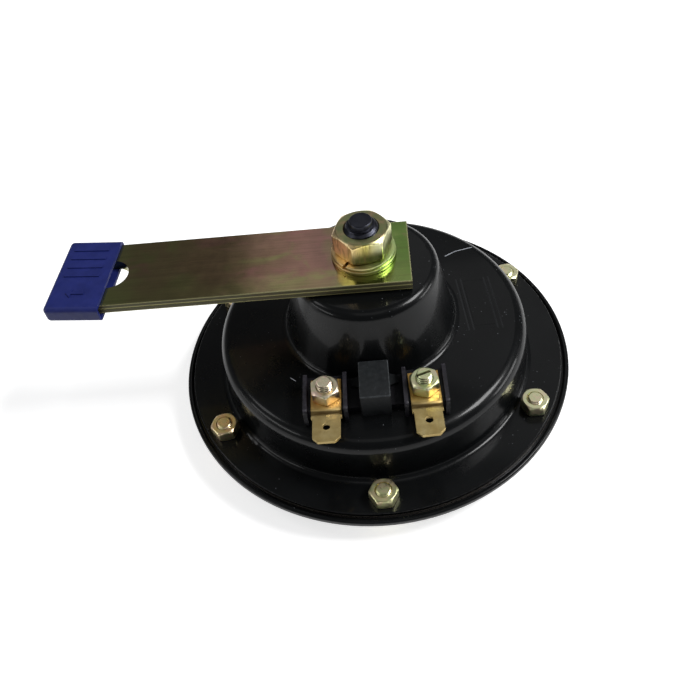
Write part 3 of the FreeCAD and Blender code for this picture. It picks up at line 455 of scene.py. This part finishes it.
def moulding(name, dark, light, rough, bump=0.010, scuff_and_edge_highlight=None, top=None):
    """Moulded plastic; the pale colour given is that of its scuffs and of a painted highlight along its edges
    just under the height top.
    """
    f = Finish(name, Specular_IOR_Level=0.32)
    tone = f.ramp(f.noise(0.25, 4.0, 0.6), (0.3, dark), (0.7, light))
    if top is not None:
        # Painted highlight along the edges just under the top, broken into patches
        painted_top_highlight = f.calc("MULTIPLY", f.fit(f.axis("Z"), top - 0.45, top - 0.2),
                      f.fit(f.axis("Z"), top + 0.02, top - 0.02))
        highlight_patches = f.fit(f.noise(0.9, 4.0, 0.7), 0.35, 0.65, 0.2, 0.8)
        tone = f.mix(f.calc("MULTIPLY", painted_top_highlight, highlight_patches), tone, scuff_and_edge_highlight)
    if scuff_and_edge_highlight is not None:
        rubs_and_edge_highlight = f.fit(f.noise(1.1, 5.0, 0.7, stretch=(1.0, 0.35, 1.0)), 0.60, 0.74)
        dots = f.fit(f.cells(0.55), 0.09, 0.03)
        tone = f.mix(f.calc("MULTIPLY", f.calc("MAXIMUM", rubs_and_edge_highlight, dots), 0.4), tone, scuff_and_edge_highlight)
    f.colour(tone)
    f.roughness(f.fit(f.noise(0.8, 3.0), 0.3, 0.7, rough - 0.07, rough + 0.07))
    f.normal(f.bump(f.noise(3.0, 3.0, 0.6), bump))
    return f.material


def wound_wire():
    """Lacquered copper, with a ridge for each turn."""
    f = Finish("copper_wire_finish", Metallic=1.0, Coat_Weight=0.6, Coat_Roughness=0.1)
    f.colour(f.ramp(f.noise(0.5, 3.0), (0.3, (0.42, 0.15, 0.05)), (0.7, (0.55, 0.22, 0.08))))
    f.roughness(f.fit(f.noise(1.0, 2.0), 0.3, 0.7, 0.22, 0.34))
    f.normal(f.bump(f.bands(0.62, "Z"), 0.12))
    return f.material


def fibre(name, dark, light):
    """Pressed fibre board or gasket paper."""
    f = Finish(name, Specular_IOR_Level=0.3)
    f.colour(f.ramp(f.noise(2.0, 5.0, 0.7, stretch=(1.0, 0.4, 1.0)), (0.3, dark), (0.7, light)))
    f.roughness(f.fit(f.noise(1.5, 3.0), 0.3, 0.7, 0.70, 0.86))
    f.normal(f.bump(f.noise(5.0, 4.0, 0.7), 0.02))
    return f.material


# The zinc's film: places on a noise from 0 to 1, with their colours
FILM = ((0.32, (0.92, 0.62, 0.50)), (0.45, (0.94, 0.80, 0.44)), (0.56, (0.66, 0.78, 0.34)),
        (0.68, (0.96, 0.88, 0.56)))
# Each scratch runs from one place on the drum's top to another, with its width
SCRATCHES = (((20.5, 19.7), (23.3, 21.5), 0.20), ((23.3, 21.5), (28.0, 22.9), 0.20),
             ((-19.8, -17.8), (-18.5, -18.9), 0.09))
housing_paint = black_paint("housing_paint", SCRATCHES)
cover_paint = black_paint("cover_paint", ())
bracket_zinc = zinc("bracket_zinc", bracket_film, 0.10, (0.12, 0.20), grain=(0.06, 2.5, 1.0))
small_zinc = zinc("small_hardware_zinc", small_film, 0.42, (0.28, 0.40), uneven=0.004)
THREADED = {"tones": small_film, "film_scale": 0.60, "rough": (0.26, 0.40), "shift": (4.0, 2.0, 7.0),
            "uneven": 0.004}
screw_zinc = zinc("screw_zinc", **THREADED)
stud_zinc = [zinc("stud_zinc_" + side, thread=(x, y, TERMINAL_STUD_END), **THREADED)
             for side, (x, y) in zip(("left", "right"), TERMINALS)]
big_zinc = zinc("big_nut_zinc", big_nut_film, 0.20, (0.28, 0.40), shift=(2.0, 5.0, 1.0))
washer_zinc = zinc("washer_zinc", washer_film, 0.12, (0.28, 0.40))
black_steel = plain_metal("black_steel", (0.030, 0.031, 0.040), (0.055, 0.057, 0.072), 0.34)
bare_steel = plain_metal("bare_steel", (0.36, 0.36, 0.37), (0.47, 0.47, 0.48), 0.34,
                         grain=(1.0, 1.0, 6.0))
spring_steel = plain_metal("spring_steel_finish", (0.24, 0.25, 0.28), (0.34, 0.35, 0.37), 0.28,
                           grain=(0.2, 4.0, 1.0))
rivet_brass = plain_metal("rivet_brass", (0.50, 0.36, 0.13), (0.60, 0.46, 0.20), 0.30)
contact_silver = plain_metal("contact_silver", (0.58, 0.58, 0.60), (0.70, 0.70, 0.71), 0.26)
tab_finish = brass_tab()
base_resin = moulding("base_resin", (0.004, 0.004, 0.006), (0.009, 0.008, 0.011), 0.42, bump=0.014,
                      scuff_and_edge_highlight=(0.060, 0.056, 0.068), top=RIB_TOP)
block_plastic = moulding("block_plastic", (0.005, 0.006, 0.007), (0.009, 0.011, 0.012), 0.50, bump=0.012,
                         scuff_and_edge_highlight=(0.065, 0.072, 0.078), top=BLOCK_TOP)
bobbin_plastic = moulding("bobbin_plastic", (0.010, 0.010, 0.011), (0.018, 0.018, 0.019), 0.42)
cap_plastic = moulding("cap_plastic", (0.012, 0.019, 0.125), (0.019, 0.028, 0.175), 0.40, bump=0.006,
                       scuff_and_edge_highlight=(0.034, 0.044, 0.225))
wire = wound_wire()
gasket = fibre("gasket_fibre_finish", (0.07, 0.06, 0.05), (0.12, 0.105, 0.085))
board = fibre("insulator_board_finish", (0.18, 0.08, 0.035), (0.28, 0.13, 0.06))

NODE_FINISHES = {
    "housing": housing_paint, "front_cover": cover_paint, "front_gasket": gasket, "rear_gasket": gasket,
    "diaphragm": spring_steel, "seat_washer": black_steel, "bracket_lower_leaf": bracket_zinc,
    "bracket_upper_leaf": bracket_zinc, "flat_washer": washer_zinc, "spring_washer": washer_zinc,
    "protective_cap": cap_plastic, "armature": bare_steel, "armature_spacer": bare_steel,
    "tone_disc": bare_steel, "armature_washer": bare_steel, "armature_nut": bare_steel,
    "coil_bobbin": bobbin_plastic, "coil_winding": wire, "coil_leads": wire, "breaker_lead": wire,
    "yoke_plate": bare_steel, "moving_arm_pad": board, "fixed_arm_pad": board,
    "inner_insulators": board, "breaker_rivets": rivet_brass, "moving_arm": spring_steel,
    "fixed_arm": spring_steel, "moving_contact": contact_silver, "fixed_contact": contact_silver,
    "adjusting_screw": black_steel, "adjuster_cover": block_plastic, "terminal_base": base_resin,
    "terminal_tab_left": tab_finish, "terminal_tab_right": tab_finish,
    "flange_screws": screw_zinc, "flange_nuts": small_zinc, "pole_core": black_steel,
    "mounting_nut": big_zinc, "terminal_stud_left": stud_zinc[0], "terminal_stud_right": stud_zinc[1],
    "terminal_nut_left": small_zinc, "terminal_nut_right": small_zinc,
}
for node, finish in NODE_FINISHES.items():
    for material_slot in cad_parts[node].material_slots:
        material_slot.material = finish


# Edges that turn by more degrees than this are shaded sharp
SHARP_ANGLE = 25.0


def polar_mesh(rings, steps, x=0.0, y=0.0, hollow=False):
    """A body of rings about a vertical axis; each ring maps an angle to a radius and a height.

    A hollow body closes from its last ring to its first, and any other is capped at both ends.
    """
    points = []
    faces = []
    for ring in rings:
        for k in range(steps):
            a = TAU * k / steps
            r, z = ring(a)
            points.append((x + r * math.cos(a), y + r * math.sin(a), z))
    count = len(rings)
    for j in range(count if hollow else count - 1):
        low = j * steps
        high = (j + 1) % count * steps
        for k in range(steps):
            n = (k + 1) % steps
            faces.append((low + k, low + n, high + n, high + k))
    if not hollow:
        for j, first in ((0, True), (count - 1, False)):
            z = sum(points[j * steps + k][2] for k in range(steps)) / steps
            points.append((x, y, z))
            middle = len(points) - 1
            for k in range(steps):
                a, b = j * steps + k, j * steps + (k + 1) % steps
                faces.append((b, a, middle) if first else (a, b, middle))
    return points, faces


def piece(name, parts, finish, node):
    """One piece from several bodies of vertices and faces, riding on the horn in place of a CAD node."""
    points = []
    faces = []
    for part_points, part_faces in parts:
        start = len(points)
        points += [(px * MM, py * MM, pz * MM) for px, py, pz in part_points]
        faces += [tuple(start + i for i in face) for face in part_faces]
    mesh = bpy.data.meshes.new(name)
    mesh.from_pydata(points, [], faces)
    mesh.update()
    mesh.shade_smooth()
    mesh.set_sharp_from_angle(angle=math.radians(SHARP_ANGLE))
    mesh.materials.append(finish)
    made = bpy.data.objects.new(name, mesh)
    bpy.context.scene.collection.objects.link(made)
    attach(made, "horn")
    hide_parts(node)


def carve(body, x, y, turn, half_length, half_width, low, high):
    """Cuts a turned box, from low to high, out of a body of rings."""
    mesh = bpy.data.meshes.new("carved")
    mesh.from_pydata(body[0], [], body[1])
    target = bpy.data.objects.new("carved", mesh)
    bpy.context.scene.collection.objects.link(target)
    c, s = math.cos(math.radians(turn)), math.sin(math.radians(turn))
    corners = []
    for z in (low, high):
        for a, b in ((-1, -1), (1, -1), (1, 1), (-1, 1)):
            u, v = a * half_length, b * half_width
            corners.append((x + u * c - v * s, y + u * s + v * c, z))
    box = bpy.data.meshes.new("cutter")
    box.from_pydata(corners, [], [(0, 3, 2, 1), (4, 5, 6, 7), (0, 1, 5, 4), (1, 2, 6, 5), (2, 3, 7, 6),
                                  (3, 0, 4, 7)])
    cutter = bpy.data.objects.new("cutter", box)
    bpy.context.scene.collection.objects.link(cutter)
    change = target.modifiers.new("cut", "BOOLEAN")
    change.operation = "DIFFERENCE"
    change.solver = "EXACT"
    change.object = cutter
    graph = bpy.context.evaluated_depsgraph_get()
    done = bpy.data.meshes.new_from_object(target.evaluated_get(graph))
    points = [tuple(v.co) for v in done.vertices]
    faces = [tuple(p.vertices) for p in done.polygons]
    bpy.data.objects.remove(target)
    bpy.data.objects.remove(cutter)
    return points, faces


def ring_at(radius, z):
    """A plain round ring for polar_mesh."""
    return lambda a: (radius, z)


def rounded_section(inner, outer, low, high, radius):
    """The section of a ring, with its outer and inner edges rounded."""
    section = []
    for x, z, start in ((outer, low, -90), (outer, high, 0), (inner, high, 90), (inner, low, 180)):
        cx = x + radius * (1 if x == inner else -1)
        cz = z + radius * (1 if z == low else -1)
        for k in range(4):
            a = math.radians(start + 30 * k)
            section.append((cx + radius * math.cos(a), cz + radius * math.sin(a)))
    return section


def split_ring_mesh(section, gap, slant, turn, steps=120):
    """A ring that is cut through once, with the cut leaning as on a spring washer."""
    middle = sum(z for r, z in section) / len(section)
    outer = max(r for r, z in section)
    points = []
    faces = []
    size = len(section)
    for j in range(steps + 1):
        share = j / steps
        for r, z in section:
            lean = (z - middle) * math.tan(math.radians(slant)) / outer
            half = gap / 2 / r
            a = math.radians(turn) + lean + half + (TAU - 2 * half) * share
            points.append((r * math.cos(a), r * math.sin(a), z))
    for j in range(steps):
        for k in range(size):
            n = (k + 1) % size
            faces.append((j * size + k, (j + 1) * size + k, (j + 1) * size + n, j * size + n))
    faces.append(tuple(range(size)))
    faces.append(tuple(steps * size + k for k in reversed(range(size))))
    return points, faces


def thread_rings(major, pitch, low, high, chamfer, per_turn=10):
    """Rings of a thread that runs out at its end in a chamfer.

    The groove's floor and the thread's crest each take a sixth of the pitch, and the two flanks the rest.
    """
    depth = 0.6 * pitch
    chamfer_slope = 0.9
    half_floor = 1 / 12
    flank_slope = 3.0
    rings = []
    count = int((high - low) / pitch * per_turn)
    for j in range(count + 1):
        z = low + (high - low) * j / count
        limit = major - max(0.0, chamfer - (high - z)) * chamfer_slope

        def ring(a, z=z, limit=limit):
            phase = (z / pitch - a / TAU) % 1.0
            tooth = min(1.0, max(0.0, (abs(phase - 0.5) - half_floor) * flank_slope))
            return min(limit, major - depth * (1.0 - tooth)), z
        rings.append(ring)
    return rings


def hex_nut_mesh(x, y, flats, low, high, bore, turn, steps=144, sharpness=60, sink=0.20):
    """A hexagon nut with rounded corners, chamfered at both ends and countersunk by sink."""
    half = flats / 2
    face_edge = half * 0.95
    face_ring = face_edge * 0.985
    chamfer_slope = math.tan(math.radians(30))
    seen_side = 0.1
    turn = math.radians(turn)

    def side(a, z):
        """A smooth minimum of the six sides and of the chamfer's cone."""
        total = 0.0
        for k in range(6):
            c = math.cos(a - turn - (k + 0.5) * TAU / 6)
            if c > seen_side:
                total += (c / half) ** sharpness
        cone = face_edge + max(min(z - low, high - z), 0.0) / chamfer_slope
        total += (1 / cone) ** sharpness
        return total ** (-1 / sharpness)

    # The rings' distances from both ends, closest where the chamfer curves
    levels = [0.0, 0.05, 0.15, 0.3, 0.45, 0.6, 0.8, 1.0]
    heights = [low + v for v in levels] + [(low + high) / 2] + [high - v for v in reversed(levels)]
    mouth = bore + sink
    drop = 2 * sink
    rings = [ring_at(bore, low + drop), ring_at(mouth, low), ring_at(face_ring, low)]
    rings += [lambda a, z=z: (side(a, z), z) for z in heights]
    rings += [ring_at(face_ring, high), ring_at(mouth, high), ring_at(bore, high - drop)]
    return polar_mesh(rings, steps, x, y, hollow=True)


# The ring inside a thread's end, and how far a cut reaches past the surface
END_RING = 0.8
PAST = 1.0


def screw_mesh(x, y, slot_turn):
    """A slotted screw whose head is below the rim and whose thread stands out of its nut."""
    low = RIM_SCREW_LOW
    seat = low + SCREW_HEAD_HEIGHT
    thread_low = FLANGE_TOP + THREAD_START_IN_NUT
    middle = SCREW_HEAD - SCREW_HEAD_ROUND
    broken = 0.08
    arc_steps = 6
    rings = [ring_at(middle - 0.2, low)]
    for k in range(1, arc_steps + 1):
        a = TAU / 4 * k / arc_steps
        rings.append(ring_at(middle + SCREW_HEAD_ROUND * math.sin(a),
                             low + SCREW_HEAD_ROUND * (1 - math.cos(a))))
    rings += [ring_at(SCREW_HEAD, seat - broken), ring_at(SCREW_HEAD - broken, seat),
              ring_at(SMALL_CORE, seat), ring_at(SMALL_CORE, thread_low)]
    rings += thread_rings(SMALL_THREAD, RIM_PITCH, thread_low, RIM_SCREW_END, chamfer=0.4)
    rings += [ring_at(END_RING, RIM_SCREW_END)]
    body = polar_mesh(rings, 56, x, y)
    return carve(body, x, y, slot_turn, SCREW_HEAD + PAST, SCREW_SLOT_HALF_WIDTH, low - PAST,
                 low + SCREW_SLOT_DEPTH)


def terminal_stud_mesh(x, y, slotted):
    """A stud whose flat head is inside and whose thread stands out of its nut."""
    low = TERMINAL_STUD_LOW
    end = TERMINAL_STUD_END
    seat = low + TERMINAL_HEAD_HEIGHT
    thread_low = TAB_TOP + THREAD_START_IN_NUT
    broken = 0.1
    rings = [ring_at(TERMINAL_HEAD - broken, low), ring_at(TERMINAL_HEAD, low + broken),
             ring_at(TERMINAL_HEAD, seat - broken), ring_at(TERMINAL_HEAD - broken, seat),
             ring_at(SMALL_CORE, seat), ring_at(SMALL_CORE, thread_low)]
    rings += thread_rings(SMALL_THREAD, TERMINAL_PITCH, thread_low, end, chamfer=0.35)
    rings += [ring_at(END_RING, end)]
    body = polar_mesh(rings, 72, x, y)
    if not slotted:
        return body
    return carve(body, x, y, STUD_SLOT_TURN, SMALL_THREAD + PAST, STUD_SLOT_HALF_WIDTH,
                 end - STUD_SLOT_DEPTH, end + PAST)


def pole_mesh():
    """The core and its stud; the thread's end is chamfered below a plain dog."""
    dog_low = STUD_END - DOG_HEIGHT
    thread_low = BIG_NUT_TOP - STUD_THREAD_HIDDEN
    broken = 0.1
    arc_steps = 6
    rings = [ring_at(CORE - broken, CORE_LOW), ring_at(CORE, CORE_LOW + broken),
             ring_at(CORE, CORE_TOP - broken), ring_at(CORE - broken, CORE_TOP),
             ring_at(STUD_SHANK, CORE_TOP), ring_at(STUD_SHANK, thread_low)]
    rings += thread_rings(STUD_THREAD, STUD_PITCH, thread_low, dog_low, chamfer=0.7, per_turn=14)
    rings += [ring_at(DOG + 0.15, dog_low), ring_at(DOG + 0.02, dog_low + 0.06), ring_at(DOG, dog_low + 0.16)]
    for k in range(arc_steps + 1):
        a = TAU / 4 * k / arc_steps
        rings.append(ring_at(DOG - DOG_ROUND * (1 - math.cos(a)), STUD_END - DOG_ROUND * (1 - math.sin(a))))
    rings += [ring_at(DOG / 2 - 0.1, STUD_END)]
    return polar_mesh(rings, 120)


rim_places = [(SCREW_CIRCLE * math.cos(math.radians(a)), SCREW_CIRCLE * math.sin(math.radians(a)))
              for a in SCREW_ANGLES]
nuts = [hex_nut_mesh(x, y, SMALL_FLATS, FLANGE_TOP, RIM_NUT_TOP, SMALL_THREAD + NUT_FIT, turn, steps=120)
        for (x, y), turn in zip(rim_places, RIM_NUT_TURNS)]
piece("rim_nuts", nuts, small_zinc, "flange_nuts")
screws = [screw_mesh(x, y, angle + turn)
          for (x, y), angle, turn in zip(rim_places, SCREW_ANGLES, RIM_NUT_TURNS)]
piece("rim_screws", screws, screw_zinc, "flange_screws")
for side, (x, y), turn, finish in zip(("left", "right"), TERMINALS, TERMINAL_NUT_TURNS, stud_zinc):
    nut = hex_nut_mesh(x, y, SMALL_FLATS, TAB_TOP, TERMINAL_NUT_TOP, SMALL_THREAD + NUT_FIT, turn)
    piece("terminal_nut_rounded_" + side, [nut], small_zinc, "terminal_nut_" + side)
    stud = terminal_stud_mesh(x, y, slotted=side == "right")
    piece("terminal_stud_threaded_" + side, [stud], finish, "terminal_stud_" + side)
big_nut = hex_nut_mesh(0.0, 0.0, BIG_FLATS, BIG_NUT_LOW, BIG_NUT_TOP, STUD_THREAD + NUT_FIT, BIG_NUT_TURN,
                       steps=240, sharpness=44, sink=0.16)
piece("big_nut", [big_nut], big_zinc, "mounting_nut")
piece("threaded_core", [pole_mesh()], black_steel, "pole_core")


def washer_section(node, radius):
    """The rounded section of a washer on the big stud, as large as its CAD node."""
    return rounded_section(STUD_HOLE, edge(node, HIGH, X), edge(node, LOW, Z), edge(node, HIGH, Z), radius)


flat = polar_mesh([ring_at(r, z) for r, z in washer_section("flat_washer", 0.18)], 180, hollow=True)
piece("flat_washer_rounded", [flat], washer_zinc, "flat_washer")
split = split_ring_mesh(washer_section("spring_washer", 0.22), SPRING_GAP, SPRING_SLANT, SPRING_TURN)
piece("spring_washer_rounded", [split], washer_zinc, "spring_washer")

# Broken edges on the bent, pressed and moulded pieces, by their width in millimetres
BROKEN_EDGES = {"terminal_tab_left": 0.08, "terminal_tab_right": 0.08, "terminal_base": 0.12}
SAME_PLACE = 0.001
BEND_LIMIT = 40.0
for node, width in BROKEN_EDGES.items():
    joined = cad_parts[node].modifiers.new("joined", "WELD")
    joined.merge_threshold = SAME_PLACE * MM
    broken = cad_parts[node].modifiers.new("broken_edges", "BEVEL")
    broken.width = width * MM
    broken.segments = 2
    broken.limit_method = "ANGLE"
    broken.angle_limit = math.radians(BEND_LIMIT)
    broken.harden_normals = True

# Stage: pale floor, soft light and the camera
FLOOR_REACH = 4.0
FLOOR_DROP = 0.0001
FLOOR_GREY = 0.92
FLOOR_BOUNCE_GREY = 0.40
FLOOR_GLOW_IN_MIRRORS = 0.42
FLOOR_GLOW = 0.66
floor_mesh = bpy.data.meshes.new("floor")
floor_mesh.from_pydata([(a * FLOOR_REACH, b * FLOOR_REACH, -FLOOR_DROP)
                        for a, b in ((-1, -1), (1, -1), (1, 1), (-1, 1))], [], [(0, 1, 2, 3)])
floor = bpy.data.objects.new("floor", floor_mesh)
bpy.context.scene.collection.objects.link(floor)
floor_material = bpy.data.materials.new("pale_floor")
floor_material.use_nodes = True
tree = floor_material.node_tree
tree.nodes.remove(tree.nodes["Principled BSDF"])
seen = tree.nodes.new("ShaderNodeBsdfDiffuse")
seen.inputs["Color"].default_value = (FLOOR_GREY, FLOOR_GREY, FLOOR_GREY, 1.0)
glow = tree.nodes.new("ShaderNodeEmission")
glow.inputs["Color"].default_value = (1.0, 1.0, 1.0, 1.0)
both = tree.nodes.new("ShaderNodeAddShader")
tree.links.new(seen.outputs[0], both.inputs[0])
tree.links.new(glow.outputs[0], both.inputs[1])
bounced = tree.nodes.new("ShaderNodeBsdfDiffuse")
bounced.inputs["Color"].default_value = (FLOOR_BOUNCE_GREY, FLOOR_BOUNCE_GREY, FLOOR_BOUNCE_GREY, 1.0)
path = tree.nodes.new("ShaderNodeLightPath")
choice = tree.nodes.new("ShaderNodeMixShader")
shown = path.outputs["Is Camera Ray"]
strength = tree.nodes.new("ShaderNodeMapRange")
strength.inputs["To Min"].default_value = FLOOR_GLOW_IN_MIRRORS
strength.inputs["To Max"].default_value = FLOOR_GLOW
tree.links.new(shown, strength.inputs["Value"])
tree.links.new(strength.outputs[0], glow.inputs["Strength"])
for other in ("Is Glossy Ray", "Is Transmission Ray"):
    either = tree.nodes.new("ShaderNodeMath")
    either.operation = "MAXIMUM"
    tree.links.new(shown, either.inputs[0])
    tree.links.new(path.outputs[other], either.inputs[1])
    shown = either.outputs[0]
tree.links.new(shown, choice.inputs[0])
tree.links.new(bounced.outputs[0], choice.inputs[1])
tree.links.new(both.outputs[0], choice.inputs[2])
tree.links.new(choice.outputs[0], tree.nodes["Material Output"].inputs["Surface"])
floor_mesh.materials.append(floor_material)

# The world is white for the camera and a faint cool light for all else
world = bpy.data.worlds.new("studio")
world.use_nodes = True
bpy.context.scene.world = world
tree = world.node_tree
ambient = tree.nodes["Background"]
ambient.inputs["Color"].default_value = (0.95, 0.97, 1.0, 1.0)
ambient.inputs["Strength"].default_value = 0.12
white = tree.nodes.new("ShaderNodeBackground")
white.inputs["Color"].default_value = (1.0, 1.0, 1.0, 1.0)
white.inputs["Strength"].default_value = 1.0
path = tree.nodes.new("ShaderNodeLightPath")
choice = tree.nodes.new("ShaderNodeMixShader")
tree.links.new(path.outputs["Is Camera Ray"], choice.inputs[0])
tree.links.new(ambient.outputs[0], choice.inputs[1])
tree.links.new(white.outputs[0], choice.inputs[2])
tree.links.new(choice.outputs[0], tree.nodes["World Output"].inputs["Surface"])


# Soft boxes: azimuth from +X and height above the floor in degrees, watts, width and height in metres
SOFT_BOXES = (
    (0, 14, 1.8, 0.40, 0.20), (0, 52, 6.0, 0.36, 0.26), (82, 48, 0.28, 0.56, 0.34),
    (200, 24, 0.9, 0.55, 0.13), (185, 8, 0.30, 0.40, 0.16), (170, 50, 0.5, 0.20, 0.20),
    (-90, 74, 0.22, 0.40, 0.40))
LIGHT_DISTANCE = 0.9
LIGHT_TARGET = Vector((0.0, 0.0, 0.02))

for azimuth, elevation, power, width, height in SOFT_BOXES:
    a, e = math.radians(azimuth), math.radians(elevation)
    away = Vector((math.cos(e) * math.cos(a), math.cos(e) * math.sin(a), math.sin(e)))
    light = bpy.data.lights.new("box_%d_%d" % (azimuth, elevation), "AREA")
    light.shape = "RECTANGLE"
    light.size = width
    light.size_y = height
    light.energy = power
    lamp = bpy.data.objects.new(light.name, light)
    bpy.context.scene.collection.objects.link(lamp)
    lamp.location = LIGHT_TARGET + away * LIGHT_DISTANCE
    lamp.rotation_euler = (-away).to_track_quat("-Z", "Y").to_euler()

# The photograph's view, solved from its circles and its bracket; millimetres, degrees and pixels
AZIMUTH, ELEVATION, ROLL = (math.radians(v) for v in (5.23, 49.51, -8.29))
VIEW_TARGET = Vector((-5.87, -5.60, 17.0))
VIEW_DISTANCE = 199.43
FOCAL_PIXELS = 790
PICTURE_PIXELS = 700
SENSOR_WIDTH = 36.0
back = Vector((math.sin(AZIMUTH) * math.cos(ELEVATION), -math.cos(AZIMUTH) * math.cos(ELEVATION),
               math.sin(ELEVATION)))
right = (-back).cross(Vector((0, 0, 1))).normalized()
up = right.cross(-back)
level_right = right * math.cos(ROLL) + up * math.sin(ROLL)
level_up = up * math.cos(ROLL) - right * math.sin(ROLL)
eye = (VIEW_TARGET + back * VIEW_DISTANCE) * MM
camera_data = bpy.data.cameras.new("camera")
camera_data.sensor_fit = "HORIZONTAL"
camera_data.sensor_width = SENSOR_WIDTH
camera_data.lens = FOCAL_PIXELS / PICTURE_PIXELS * SENSOR_WIDTH
camera_data.clip_start = 0.01
camera = bpy.data.objects.new("camera", camera_data)
bpy.context.scene.collection.objects.link(camera)
turn = Matrix((level_right, level_up, back)).transposed().to_4x4()
camera.matrix_world = Matrix.Translation(eye) @ turn
bpy.context.scene.camera = camera
bpy.context.scene.view_settings.view_transform = "Standard"
